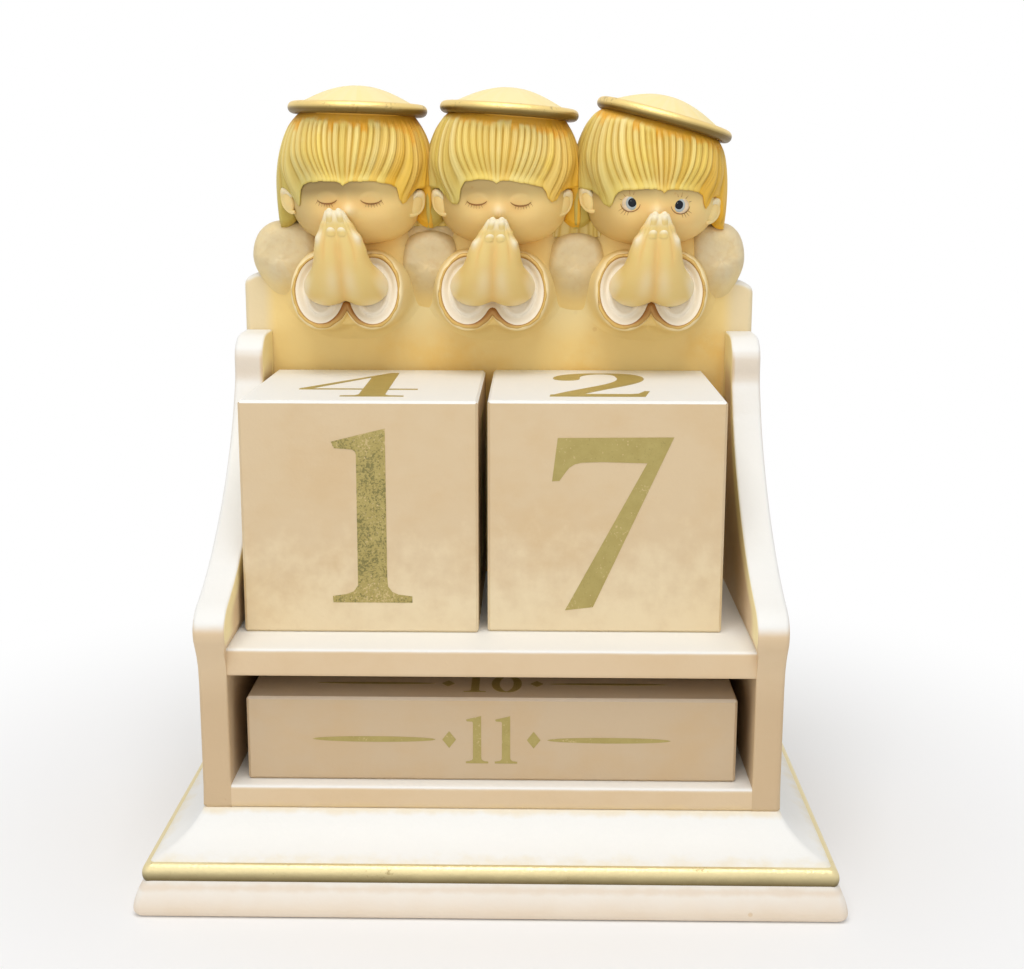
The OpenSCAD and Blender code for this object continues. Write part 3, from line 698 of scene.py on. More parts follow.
def tightest(rim):
    """Radius of a closed outline at each point where it turns outwards: step over the angle turned.

    Beside a corner it may rise by no more than 0.15 of the way from that corner."""
    step = np.roll(rim, -1, 0) - rim
    heading = np.unwrap(np.arctan2(step[:, 1], step[:, 0]))
    turned = (heading - np.roll(heading, 1) + math.pi) % (2 * math.pi) - math.pi
    radius = np.linalg.norm(step, axis=1) / np.clip(turned, 0.01, None)
    spacing = np.median(np.linalg.norm(step, axis=1))
    return np.min([np.roll(radius, k) + 0.15 * spacing * max(abs(k) - 1, 0) for k in range(-16, 17)], 0)


def plate_shell(node, axis, centre, low_round, high_round, keep=None, spacing=0.7 * MM, ease=1.6 * MM,
                shape=None, thicken=None):
    """A plate with the CAD node's outline and rounded edges, as cast resin has.

    Across its thickness the outline steps in by r - r * sin(a) while it turns through a right
    angle, and never by more than 0.8 of a corner's own radius. The last ring on each flat side lies
    0.5 mm nearer the middle, so that the side stays flat. From the outline's points, keep gives the
    share of the rounding on the far side, shape gives their new places, and thicken gives how far
    the far side moves out."""
    low, high = corners(node)
    kept, rim, middle = outline_of(node, axis, centre, spacing, ease)
    rim = rim if shape is None else shape(rim)
    far = np.zeros(len(rim)) if thicken is None else thicken(rim)
    limit = 0.8 * tightest(rim)
    along = np.roll(rim, -1, 0) - np.roll(rim, 1, 0)
    normal = np.stack([along[:, 1], -along[:, 0]], -1)
    normal /= np.linalg.norm(normal, axis=1, keepdims=True)
    share = np.ones(len(rim)) if keep is None else keep(rim)
    turn = np.linspace(0, math.pi / 2, 7)
    near_rows = [(low_round * (1 - math.sin(a)), low[axis] + low_round * (1 - math.cos(a))) for a in turn]
    far_rows = [(high_round * (1 - math.sin(a)), high[axis] - high_round * (1 - math.cos(a)))
                for a in turn[::-1]]
    grid = np.zeros((len(near_rows + far_rows), len(rim), 3))
    for count, (row, (inset, place)) in enumerate(zip(grid, near_rows + far_rows)):
        on_far_side = count >= len(near_rows)
        step = np.minimum(inset * (share if on_far_side else 1), limit)
        row[:, kept] = rim - normal * step[:, None]
        row[:, axis] = place + (far if on_far_side else 0)

    def flat_ring(edge):
        """The last ring on a flat side: the edge's ring, evened along itself and drawn in."""
        ring = sum(part * np.roll(edge, k, 0) for k, part in enumerate((0.1, 0.2, 0.4, 0.2, 0.1), -2))
        inwards = middle - ring[:, kept]
        ring[:, kept] += inwards * 0.5 * MM / np.linalg.norm(inwards, axis=1, keepdims=True)
        ring[:, axis] = edge[:, axis]
        return ring[None]

    grid = np.concatenate([flat_ring(grid[0]), grid, flat_ring(grid[-1])])
    tips = np.zeros((2, 3))
    tips[:, kept] = middle
    tips[:, axis] = low[axis], high[axis]
    return tube(grid, tips)


def moulding_shell(low, high, profile, corner):
    """Rings round a plan, as a moulding has: each point of the profile is an inset and a height.

    Each ring is a rectangle inside the plan by its inset, with a quarter circle at each corner."""
    turn = np.linspace(0, math.pi / 2, 9)
    middle, half = (low[:2] + high[:2]) / 2, (high[:2] - low[:2]) / 2
    rows = []
    for inset, height in profile:
        reach = half - inset
        ring = []
        for quarter, (sx, sy) in enumerate(((1, 1), (-1, 1), (-1, -1), (1, -1))):
            a = turn + quarter * math.pi / 2
            x = sx * (reach[0] - corner) + corner * np.cos(a)
            y = sy * (reach[1] - corner) + corner * np.sin(a)
            ring.append(np.stack([middle[0] + x, middle[1] + y, height + 0 * x], -1))
        rows.append(np.concatenate(ring))
    return tube(np.stack(rows))


def slab_profile(low, high):
    """Slab: a foot rounded by 1.3 mm, then a belly that draws in as t^1.8 towards its top edge."""
    radius = 1.3 * MM
    foot = [(radius * (1 - math.sin(a)) + 0.02 * MM, low[2] + radius * (1 - math.cos(a)))
            for a in np.linspace(0, math.pi / 2, 7)]
    rise = high[2] - low[2] - radius
    belly = [(2.2 * MM * t ** 1.8, low[2] + radius + rise * t) for t in np.linspace(0.08, 1, 14)]
    return [(4 * MM, low[2])] + foot + belly + [(4 * MM, high[2])]


def bead_profile(low, high):
    """Bead: a half round that hangs over the slab's edge and runs up onto the foot of the cove."""
    foot, tall = low[2] - 1.5 * MM, high[2] - low[2] + 1.3 * MM
    swell = [(1.3 * MM - 1.6 * MM * math.cos(a) ** 0.8, foot + tall / 2 + tall / 2 * math.sin(a))
             for a in np.linspace(-math.pi / 2, math.pi / 2, 21)]
    return [(4 * MM, foot)] + swell + [(4 * MM, foot + tall + 0.2 * MM)]


def cove_profile(low, high, top_inset):
    """Cove: from its foot to the case it hollows out by 4 * sag * t * (1 - t)."""
    t = np.linspace(0, 1, 25)
    hollow = 0.8 * MM * 4 * t * (1 - t)
    rise = [(top_inset * a + b, low[2] + (high[2] - low[2]) * a - b) for a, b in zip(t, hollow)]
    start = -1.0 * MM
    rise[0] = (start + rise[0][0], rise[0][1] - 0.6 * MM)
    return [(3 * MM, low[2] - 2 * MM), (start, low[2] - 2 * MM)] + rise + [(top_inset + 2 * MM, high[2])]


# ---------- where the figures stand ----------


class Figure:
    """Places of one cherub, read from the frame: its head's centre, halo, and cuffs' centre."""

    def __init__(self, place):
        self.place = place
        self.index = PLACES.index(place)
        s = sizes()
        low, high = corners("head_" + place)
        self.head = np.array([(low[0] + high[0]) / 2, high[1] - s.head_half, high[2] - s.skull_up])
        low, high = corners("cuff_trim_" + place)
        self.cuffs = np.array([(low[0] + high[0]) / 2, (low[1] + high[1]) / 2, (low[2] + high[2]) / 2])
        self.panel = corners("back_panel")[0][1]
        self.halo_box = corners("halo_" + place)


def head_reach(tilt, s, gap=0.0):
    """Distance from the head's centre to its surface at an angle from the top.

    A superellipse of power 2.5 below the centre, for full cheeks, and an ellipse above it."""
    across = np.abs(np.sin(tilt)) / (s.head_half + gap)
    below = (across ** 2.5 + (np.abs(np.cos(tilt)) / (s.chin_drop + gap)) ** 2.5) ** -0.4
    above = (across ** 2 + (np.abs(np.cos(tilt)) / (s.skull_up + gap)) ** 2) ** -0.5
    return np.where(np.cos(tilt) < 0, below, above)


def round_head(distance, turn, tilt):
    """Point at a distance from the head's centre: turn round from the front, tilt from the top."""
    flat = distance * np.sin(tilt)
    x, y = flat * np.sin(turn), -flat * np.cos(turn)
    return np.stack(np.broadcast_arrays(x, y, distance * np.cos(tilt)), -1)


def face_depth(x, z, s):
    """How far the bare face stands in front of the head's centre at x, z: sqrt(w(z)^2 - x^2)."""
    below = (1 - np.clip(-z / s.chin_drop, 0, 1) ** 2.5) ** 0.4
    above = np.sqrt(1 - np.clip(z / s.skull_up, 0, 1) ** 2)
    wide = s.head_half * np.where(z < 0, below, above)
    return np.sqrt(np.clip(wide ** 2 - x ** 2, 0, None))


# Eyes of each head, as x and z from its centre, then the nose's x
EYES = {"left": ((-4.65 * MM, -1.5 * MM), (4.3 * MM, -1.5 * MM)),
        "middle": ((-5.2 * MM, -1.65 * MM), (3.7 * MM, -1.85 * MM)),
        "right": ((-4.68 * MM, -2.03 * MM), (4.74 * MM, -2.45 * MM))}
NOSE_SIDE = {"left": -0.2 * MM, "middle": -0.8 * MM, "right": 0.2 * MM}


def face_relief(x, z, place):
    """Forms on the face, as a height: nose, closed lids, the sockets round them and puffed cheeks."""
    relief = 1.25 * MM * bump(x - NOSE_SIDE[place], z + 3.9 * MM, 1.5 * MM, 1.35 * MM)
    relief += 0.35 * MM * bump(x - NOSE_SIDE[place], z + 1.6 * MM, 1.2 * MM, 2.2 * MM)
    for side, (eye, eye_up) in zip((-1, 1), EYES[place]):
        socket_depth = 0.45 if place != "right" else 0.35
        relief -= socket_depth * MM * bump(x - eye, z - eye_up + 0.3 * MM, 3.2 * MM, 2.0 * MM)
        if place != "right":
            inside = ((x - eye) / (2.15 * MM)) ** 2 + ((z - eye_up - 0.15 * MM) / (1.4 * MM)) ** 2
            relief += 0.45 * MM * np.clip(1 - inside, 0, None) ** 0.62
        relief += 0.5 * MM * bump(x - 1.35 * eye - side * 1.2 * MM, z + 6.2 * MM, 3.2 * MM, 2.6 * MM)
    relief += 0.10 * MM * bump(x, z - 2.6 * MM, 8 * MM, 1.6 * MM)
    return relief


def face_point(x, z, place, lift=0.0):
    """Point on the finished face, relative to the head's centre, raised by lift."""
    s = sizes()
    depth = face_depth(x, z, s) + face_relief(x, z, place)
    return np.stack([x, -(depth + lift), z + 0 * x], -1)


# ---------- heads ----------


def head_shell(figure):
    """The head: round_head over a grid of turn and tilt, with face_relief added on the front.

    Gives the shell, and its points' blush, with painted shade under the jaw, a painted highlight on
    the nose, and the forehead's umber wash with painted shadow and shade."""
    s = sizes()
    tilt = np.linspace(0.02, math.pi - 0.02, 150)[:, None]
    turn = np.linspace(-math.pi, math.pi, 240, endpoint=False)[None, :]
    points = round_head(head_reach(tilt, s), turn, tilt)
    front = smoothstep(0.15, 0.6, np.cos(turn) * np.sin(tilt))
    x, z = points[..., 0], points[..., 2]
    points[..., 1] -= face_relief(x, z, figure.place) * front
    in_front = points[..., 1] < 0
    blush = np.zeros(points.shape[:2])
    for side, (eye, eye_up) in zip((-1, 1), EYES[figure.place]):
        blush += 0.4 * bump(x - eye + side * 1.4 * MM, z - eye_up + 1.0 * MM, 3.0 * MM, 1.5 * MM)
        blush += 0.2 * bump(x - 1.5 * eye, z + 6.0 * MM, 3.8 * MM, 2.8 * MM)
    # Painted shade under the jaw, laid as blush.
    blush += 0.3 * smoothstep(-0.55, -0.95, np.cos(tilt)) + 0 * turn
    blush = np.clip(blush * np.where(in_front, 1, 0.4), 0, 0.8)
    # pale: a painted highlight on the tip of the nose.
    pale = 0.4 * bump(x - NOSE_SIDE[figure.place], z + 3.6 * MM, 1.2 * MM, 1.1 * MM) * in_front
    dim, fade = (1.0, 0.45) if figure.place == "left" else (0.8, 0.2)
    # brow: umber wash and the painted shadow of the hair on the forehead.
    brow = smoothstep(-2.8 * MM, 0.9 * MM, z) * (dim - fade * smoothstep(-2 * MM, 7 * MM, x))
    # Painted shade on the face's left side.
    brow = brow + 0.45 * smoothstep(-4 * MM, -11 * MM, x) * smoothstep(2 * MM, -3 * MM, z)
    brow = np.clip(brow, 0, 1) * in_front
    return tube(points + figure.head), with_tips(blush), with_tips(pale), with_tips(brow)


# Ears of each head, as x and z from its centre
EARS = {"left": ((-13.75, -2.0), (12.95, -2.6)), "middle": ((-13.2, -2.4), (12.7, -2.4)),
        "right": ((-13.5, -1.7), (12.5, -3.9))}


def ear_shells(figure):
    """Two small ears that lie along the head: a rim with a round bump on top, and a dished middle.

    The rim is carried along 1.5 mm * cos(s) outwards and 2.2 mm * sin(s) upwards. Its top leans
    out and its lower end thins and bends in along the cheek. The dish is a flattened ball."""
    shells, blush, pale = [], [], []
    around = np.linspace(0, 2 * math.pi, 24, endpoint=False)
    cos_around, sin_around = np.cos(around)[None, :, None], np.sin(around)[None, :, None]
    turn = math.radians(40)
    for side, (away, up_at) in zip((-1, 1), EARS[figure.place]):
        middle = figure.head + [away * MM, -5.2 * MM, up_at * MM]
        out = np.array([side * math.cos(turn), math.sin(turn), 0])
        up = np.array([side * 0.17, 0, 1.0])
        face = np.array([side * math.sin(turn), -math.cos(turn), 0])
        sweep = np.linspace(math.radians(-118), math.radians(160), 56)[:, None, None]
        wide = (0.45 + 0.40 * np.exp(-((sweep - 1.4) / 0.8) ** 2)) * MM
        ends = np.sqrt(np.clip(1 - np.abs(np.linspace(-1, 1, 56))[:, None, None] ** 10, 0.02, 1))
        rim = (1.5 * np.cos(sweep) - 0.9 * smoothstep(-0.2, -1.9, sweep)) * out + 2.2 * np.sin(sweep) * up
        spoke = np.cos(sweep) * out + np.sin(sweep) * up
        ring = wide * ends * (cos_around * spoke + sin_around * face)
        shells.append(tube(middle + rim * MM + ring))
        rows = ring.shape[:2]
        # pale: a painted highlight on the top of the ear's rim.
        pale.append(with_tips(np.broadcast_to(0.08 + 0.5 * smoothstep(0.5, 1.5, sweep[..., 0]), rows)))
        blush.append(with_tips(np.zeros(rows)))
        tilt = np.linspace(0.05, math.pi - 0.05, 20)[:, None, None]
        flat = np.sin(tilt) * (1.55 * cos_around * out + 2.3 * sin_around * up)
        dish = middle + flat * MM + 0.75 * MM * np.cos(tilt) * face - 0.1 * MM * face
        shells.append(tube(dish))
        pale.append(with_tips(np.full(dish.shape[:2], 0.05)))
        blush.append(with_tips(np.zeros(dish.shape[:2])))
    return shells, blush, pale


# ---------- painted eyes ----------


def painted_line(path, half, place, origin, lift=0.05 * MM):
    """A brushed line on the face: path is x, z along it and half its half width, in metres.

    Its four-cornered section follows the face's surface, from just inside it to just outside."""
    step = np.gradient(path, axis=0)
    across = np.stack([-step[:, 1], step[:, 0]], -1)
    across /= np.linalg.norm(across, axis=1, keepdims=True) + 1e-12
    left, right = path + across * half[:, None], path - across * half[:, None]
    corners_of = [(left, -0.1 * MM), (left, lift), (right, lift), (right, -0.1 * MM)]
    grid = np.stack([face_point(edge[:, 0], edge[:, 1], place, up) for edge, up in corners_of], 1)
    return tube(grid + origin)


def painted_disc(x, z, radius, place, origin, dome, squash=1.0):
    """A round spot on the face, domed: height dome * sqrt(1 - r^2) over the face's surface."""
    angle = np.linspace(0, 2 * math.pi, 40, endpoint=False)[None, :]
    rings = np.linspace(1, 0.04, 10)
    share = np.concatenate([[1.0], rings])[:, None]
    lift = np.concatenate([[-0.15 * MM], dome * np.sqrt(1 - rings ** 2)])[:, None]
    px = x + radius * share * np.cos(angle)
    pz = z + radius * squash * share * np.sin(angle)
    flat = face_point(np.full_like(px, x), np.full_like(pz, z), place)[..., 1]
    own = face_point(px, pz, place)[..., 1]
    depth = 0.5 * (flat + own) - lift
    return tube(np.stack([px, depth, pz], -1) + origin)


def lash(way, half, figure):
    """A short lash, which thins to 0.3 of its half width."""
    return painted_line(way, half * np.linspace(1, 0.3, 8), figure.place, figure.head, 0.04 * MM)


def closed_lashes(figure):
    """Lash line under each closed lid, an arc that dips in the middle, and short lashes below it."""
    shells = []
    t = np.linspace(-1, 1, 40)
    half, dip = 2.05 * MM, 1.15 * MM
    for side, (eye, up) in zip((-1, 1), EYES[figure.place]):

        def lid(share):
            return np.stack([eye + half * share, up + 0.3 * MM - dip * np.sqrt(1 - 0.9 * share ** 2)], -1)

        thick = 0.15 * MM * (1 - 0.75 * np.abs(t) ** 2.5) + 0.02 * MM
        shells.append(painted_line(lid(t), thick, figure.place, figure.head))
        for share in np.linspace(-0.45, 0.95, 7) * side:
            way = lid(share) + np.linspace(0, 0.75 * MM, 8)[:, None] * np.array([0.7 * share, -1.0])
            shells.append(lash(way, 0.06 * MM, figure))
    return shells


# Lashes round an open eye: angle from the eye's outer side, upwards, in degrees, and then the
# distance from the eye's middle to the lash, and the lash's length, in mm
OPEN_LASHES = ((-74, 1.8, 0.8), (-60, 1.85, 1.0), (-47, 1.9, 1.1), (-33, 2.0, 1.0), (18, 2.0, 0.6),
               (48, 1.75, 0.8), (80, 1.6, 1.0), (104, 1.65, 0.7))


def open_lashes(figure):
    """Brown line round the lower half of each open eye, and a few short lashes that fan out."""
    shells = []
    turn = np.radians(np.linspace(-172, -8, 40))
    thick = 0.10 * MM * (1 - 0.6 * np.abs(np.linspace(-1, 1, 40)) ** 3)
    for side, (eye, up) in zip((-1, 1), EYES[figure.place]):
        x = eye + side * 0.35 * MM + 1.95 * MM * np.cos(turn)
        lower = np.stack([x, up + 1.75 * MM * np.sin(turn)], -1)
        shells.append(painted_line(lower, thick, figure.place, figure.head))
        for angle, start, long in OPEN_LASHES:
            way = np.array([math.cos(math.radians(angle)) * side, math.sin(math.radians(angle))])
            run = (start + np.linspace(0, long, 8)[:, None]) * MM * way
            shells.append(lash(np.array([eye + side * 0.2 * MM, up]) + run, 0.065 * MM, figure))
    return shells


# ---------- hair ----------


# Lower edge of the hair on each head: turn from the front in degrees, and height over the head's
# centre in mm. It runs from the back past the right ear, the sideburn and the fringe, and round.
HAIR_EDGE = {
    "left": [(-180, -8.4), (-82, -7.8), (-78, -6.5), (-74, -1.5), (-71, 1.0), (-66, 0.8), (-60, -1.0),
             (-55, -2.6), (-51.5, -3.0), (-49.5, -2.2), (-47.5, 0.8), (-44, 2.0), (-38, 2.6),
             (-24, 2.9), (-5, 2.7), (8, 2.8), (22, 2.8), (36, 2.2), (41.5, 1.4), (44, -1.0),
             (48, -2.3), (52, -1.9), (58, -0.2), (64, 1.2), (72, 1.2), (76, -1.5), (80, -6.5),
             (84, -7.8), (180, -8.4)],
    "middle": [(-180, -8.4), (-84, -7.8), (-80, -6.5), (-76, -1.5), (-72, 1.3), (-64, 1.3),
               (-57, -0.5), (-49, -2.1), (-42, -2.4), (-39, -1.6), (-37, 1.2), (-33, 2.9), (-20, 3.3),
               (-6, 3.2), (6, 3.0), (20, 2.4), (35, 1.6), (38.5, 0.6), (41, -1.0), (46, -1.8),
               (51, -1.4), (57, 0.4), (64, 1.3), (72, 1.3), (76, -1.5), (80, -6.5), (84, -7.8),
               (180, -8.4)],
    "right": [(-180, -8.4), (-84, -7.8), (-80, -6.5), (-76, -1.5), (-72, 1.0), (-62, 0.9), (-53, -0.4),
              (-47, -2.3), (-41.5, -2.9), (-38, -2.2), (-35.5, -0.6), (-32, 0.6), (-27, 1.1),
              (-14, 1.2), (6, 1.3), (26, 1.1), (38, 0.6), (44, -0.2), (46.5, -2.2), (50, -3.3),
              (54, -2.3), (58, -0.8), (64, -0.4), (69, -1.2), (73, -4.0), (77, -7.0), (81, -7.8),
              (180, -8.4)],
}
PART_SIDE = {"left": -5.0, "middle": -5.0, "right": 6.5}


class Halo:
    """Axes of a halo, found from the CAD ring's box: its centre, the way it leans and its radii."""

    def __init__(self, figure):
        low, high = figure.halo_box
        self.centre = (low + high) / 2
        self.thick = 2.5 * MM
        self.ring = (high[1] - low[1]) / 2 - self.thick / 2
        half = (high - low) / 2 - self.thick / 2
        lean = math.atan2(half[2], half[0])
        self.up = np.array([math.sin(lean), 0, math.cos(lean)])
        self.side = np.array([math.cos(lean), 0, -math.sin(lean)])

    def point(self, radius, turn, height):
        """Point round the halo's own axis."""
        return (self.centre + height * self.up + (radius * np.sin(turn)) * self.side
                - (radius * np.cos(turn)) * np.array([0, 1.0, 0]))


def strand_place(turn, count, seed):
    """Place along the row of strands, counted in strands: even spacing with three slow wavers."""
    wavers = ((0.32, 3, 1.0), (0.13, 8, 2.1), (0.06, 19, 3.3))
    return count * turn / (2 * math.pi) + sum(a * np.sin(n * turn + k * seed) for a, n, k in wavers)


def per_strand(place, seed):
    """A number from 0 to 1 that is the same along one strand."""
    return np.modf(np.abs(np.sin(np.floor(place) * 12.9898 + seed) * 43758.5453))[0]


def hair_columns(count):
    """Turns round the head from -pi to pi, three times denser in front than behind."""
    fine = np.linspace(-math.pi, math.pi, 4001)
    crowd = 1 + 2.4 * smoothstep(-0.35, 0.1, np.cos(fine))
    total = np.concatenate([[0], np.cumsum((crowd[1:] + crowd[:-1]) / 2)])
    return np.interp(np.linspace(0, 1, count, endpoint=False), total / total[-1], fine)


# Rows of the hair's skin in its crown, neck, fall, lip and lining
HAIR_ROWS = (18, 4, 64, 6, 12)


def hair_shell(figure):
    """Crown, waist under the halo, carved fall, thin lower edge and lining, as one closed skin.

    Each column of the skin is one line of a strand. It falls from the halo to the edge while it
    sweeps towards the parting by 15 degrees * sin(2 * turn) * (share of the fall)^1.6. The outer
    surface is a superellipse of power 2.2 that closes in on the forehead at its lower edge."""
    s = sizes()
    halo = Halo(figure)
    columns, seed = 720, 1.7 + figure.index * 2.3
    turn = hair_columns(columns)
    turns = turn[None, :, None]
    waist = halo.ring - halo.thick / 2 - 0.12 * MM
    part = math.radians(PART_SIDE[figure.place])

    angle = np.radians(np.linspace(88, 4, HAIR_ROWS[0]))[:, None, None]
    spread = np.cos(angle)
    crown = halo.point(waist * spread, turns, halo.thick * 0.45 + s.crown_up * (1 - spread ** 2) ** 1.15)
    crown[..., 2] += 0.05 * MM * np.sin(turn * 9 + seed) * np.sin(2 * angle[..., 0])
    neck = halo.point(waist, turns, halo.thick * np.array([0.5, 0.15, -0.2, -0.5])[:, None, None])

    start_way = neck[-1] - figure.head
    start = np.arccos(start_way[:, 2] / np.linalg.norm(start_way, axis=1))
    share = np.linspace(0, 1, HAIR_ROWS[2])[:, None]
    away = np.clip(turn - part, -math.pi / 2, math.pi / 2)
    lean = math.radians(15) * np.sin(2 * away) * share ** 1.6
    swept = turn - lean
    landing = np.degrees((swept[-1] + math.pi) % (2 * math.pi) - math.pi)
    last = np.abs(landing)
    wide = s.hair_half - s.fringe_thin * np.clip(np.cos(turn), 0, None) ** 2
    if figure.place == "right":
        wide = wide - 1.0 * MM * smoothstep(0.6, 1.4, turn) * smoothstep(2.8, 1.8, turn)
    edge_z = np.interp(landing, *np.transpose(HAIR_EDGE[figure.place])) * MM
    place = strand_place(turn, s.strands, seed)
    edge_z = edge_z - 0.9 * MM * np.exp(-np.abs(landing - PART_SIDE[figure.place]) / 3.0)
    edge_z = edge_z + 0.16 * MM * (per_strand(place, seed + 4) - 0.5) * (last < 36)
    edge = math.pi / 2 - np.arctan(edge_z / wide)
    tilt = start + (edge - start) * share

    far = ((np.abs(np.sin(tilt)) / wide) ** 2.2
           + (np.abs(np.cos(tilt)) / np.where(np.cos(tilt) > 0, s.hair_up, 30 * MM)) ** 2.2) ** (-1 / 2.2)
    front = smoothstep(74, 56, last)
    closing = smoothstep(0.5, 1.0, share) ** 1.4 * (0.06 + 0.94 * front)
    far = far + (head_reach(tilt, s, 0.36 * MM) - far) * closing

    inside = place - np.floor(place)
    ridge = (1 - np.abs(2 * inside - 1) ** 2.4) * (0.62 + 0.38 * per_strand(place, seed))
    fine = strand_place(turn, 3 * s.strands, seed + 1)
    thread = 1 - np.abs(2 * (fine - np.floor(fine)) - 1) ** 2
    strand = 0.84 * ridge + 0.16 * thread
    deep = smoothstep(0.05, 0.2, share) * (1 - 0.35 * share) * (1 - 0.5 * smoothstep(100, 140, last))
    deep = deep * (1 - 0.8 * smoothstep(0.82, 1.0, share) * front)
    far = far + s.ridge * (strand - 0.6) * deep
    fall = round_head(far, swept, tilt) + figure.head
    ease = smoothstep(0.0, 0.1, share)[..., None]
    fall = neck[-1] * (1 - ease) * 0.5 + fall * (1 - (1 - ease) * 0.5)

    inner = head_reach(edge, s, 0.05 * MM)
    roll = np.linspace(0.2, 1, HAIR_ROWS[3])[:, None]
    lip = round_head(far[-1] * (1 - roll) + inner * roll, swept[-1], edge + 0.03 * np.sin(roll * math.pi))
    tuck = np.linspace(0.93, 0.05, HAIR_ROWS[4])[:, None]
    lining = round_head(head_reach(edge * tuck, s, 0.05 * MM), swept[-1], edge * tuck)

    grid = np.concatenate([crown, neck, fall, lip + figure.head, lining + figure.head])

    def over_skin(crown=0.0, neck=0.0, fall=0.0, lip=0.0, lining=0.0):
        """A number at every point, from its values on the five parts of the skin."""
        parts = zip((crown, neck, fall, lip, lining), HAIR_ROWS)
        return np.concatenate([np.broadcast_to(value, (rows, columns)) for value, rows in parts])

    depth = 0.22 + 0.06 * np.sin(5 * turn + seed) + 0.3 * np.exp(-((turn - 0.95) / 0.3) ** 2)
    depth = depth * (0.8 + 0.4 * per_strand(place, seed + 7))
    depth = depth + 0.2 * (per_strand(place, seed + 3) > 0.93)
    gold_side = 0.8 * smoothstep(0.55, 1.15, turn) * smoothstep(2.4, 1.5, turn)
    hot = 0.5 * (per_strand(place, seed + 9) > 0.66) * smoothstep(-0.6, 0.3, turn)
    warm = np.clip(gold_side + hot, 0, 1)
    olive = 0.8 * smoothstep(-0.55, -1.1, turn) * smoothstep(-2.4, -1.5, turn)
    values = {
        "groove": over_skin(fall=(1 - strand) * deep, lip=0.5 * (1 - strand)),
        "band": over_skin(neck=1.0, fall=1 - smoothstep(-0.1, 1.3, share / depth)),
        "warm": over_skin(fall=warm * (0.45 + 0.55 * share), lip=warm),
        "olive": over_skin(fall=olive * (0.1 + 0.9 * share), lip=olive),
        "shine": over_skin(fall=per_strand(place, seed + 6) * strand * (1 - 0.6 * share)),
        "crown": over_skin(crown=0.75 + 0.25 * per_strand(place, seed + 2),
                           neck=np.array([1.0, 1.0, 0.0, 0.0])[:, None])}
    return tube(grid), {key: [with_tips(value)] for key, value in values.items()}


def hair_web(x, low, high):
    """Hair that fills the valley between two heads: a lens across, with upright strands on it.

    Its upper end is rounded as (1 - t^4)^0.5. Downwards it widens and thins, and its flat lower end
    stands behind the wings."""
    t = np.linspace(-1, 1, 40)[:, None]
    turn = np.linspace(0, 2 * math.pi, 160, endpoint=False)[None, :]
    swell = np.where(t > 0, np.sqrt(np.clip(1 - t ** 4, 0.003, 1)), 1.0)
    place = strand_place(turn, 22, 4.0 * x / MM) + 0.25 * np.sin(2.4 * t + 2 * turn)
    inside = place - np.floor(place)
    ridge = 1 - np.abs(2 * inside - 1) ** 2.2
    across = (2.7 + 2.9 * smoothstep(0.0, -0.6, t)) * MM * swell + 0.10 * MM * ridge
    deep = (0.3 + 2.5 * smoothstep(-0.8, 0.0, t)) * MM * swell + 0.10 * MM * ridge
    head = Figure("middle").head
    points = np.stack([x + across * np.sin(turn), head[1] - deep * np.cos(turn),
                       (low + high) / 2 + (high - low) / 2 * t + 0 * turn], -1)
    shine = per_strand(place, 2.0) * ridge
    none = np.zeros(points.shape[:2])
    values = {"groove": 0.5 * (1 - ridge), "band": none, "warm": none + 0.15,
              "olive": none + 0.25 * smoothstep(0.2, -0.8, t), "shine": shine, "crown": none}
    return tube(points), {key: [with_tips(value)] for key, value in values.items()}


# ---------- robes, cuffs and hands ----------


def lobes(angle, spacing, wide, high, above=6.0):
    """Outline of two overlapping ellipses from the point between them, its notches blended.

    The far and near crossings of a ray are joined by a power mean: 6 below, and above as given."""
    k = (np.cos(angle) / wide) ** 2 + (np.sin(angle) / high) ** 2
    b = spacing * np.abs(np.cos(angle)) / wide ** 2
    q = np.sqrt(b ** 2 + k * (1 - spacing ** 2 / wide ** 2))
    power = np.where(np.sin(angle) > 0, above, np.maximum(above, 6.0))
    reach = (((b + q) / k / MM) ** power + ((q - b) / k / MM) ** power) ** (1 / power) * MM
    return np.stack([reach * np.cos(angle), reach * np.sin(angle)], -1)


# Cuffs of each figure: the two lobes' half spacing, half width and half height, and how full the
# top is between them
CUFF = {"left": (5.3 * MM, 5.65 * MM, 7.2 * MM, 1.6), "middle": (5.1 * MM, 5.85 * MM, 7.3 * MM, 2.0),
        "right": (5.3 * MM, 5.65 * MM, 7.3 * MM, 1.6)}
CUFF_SLOPE = 0.25


def cuff_outline(angle, outwards, place):
    """The cuffs' outline moved along its own normal.

    Far outside the cuffs the two lobes run together into one oval, so that the notch closes."""
    spacing, wide, high, above = CUFF[place]
    outwards = np.asarray(outwards)
    merged = 0.95 * smoothstep(0.6 * MM, 3.5 * MM, outwards)

    def outline(a):
        reach = np.linalg.norm(lobes(a, spacing, wide, high, above), axis=-1)
        oval = ((np.cos(a) / (spacing + wide)) ** 2 + (np.sin(a) / high) ** 2) ** -0.5
        reach = reach + (oval - reach) * merged
        return np.stack([reach * np.cos(a), reach * np.sin(a)], -1)

    along = outline(angle + 0.02) - outline(angle - 0.02)
    normal = np.stack([along[..., 1], -along[..., 0]], -1)
    normal /= np.linalg.norm(normal, axis=-1, keepdims=True)
    return outline(angle) + normal * outwards[..., None]


def cuff_ring(figure, outwards, forward, angle):
    """A ring of the cuffs in their sloping plane, forward of the back panel."""
    flat = cuff_outline(angle, outwards, figure.place)
    centre = figure.cuffs
    return np.stack([centre[0] + flat[..., 0], figure.panel - forward + CUFF_SLOPE * flat[..., 1],
                     centre[2] + flat[..., 1]], -1)


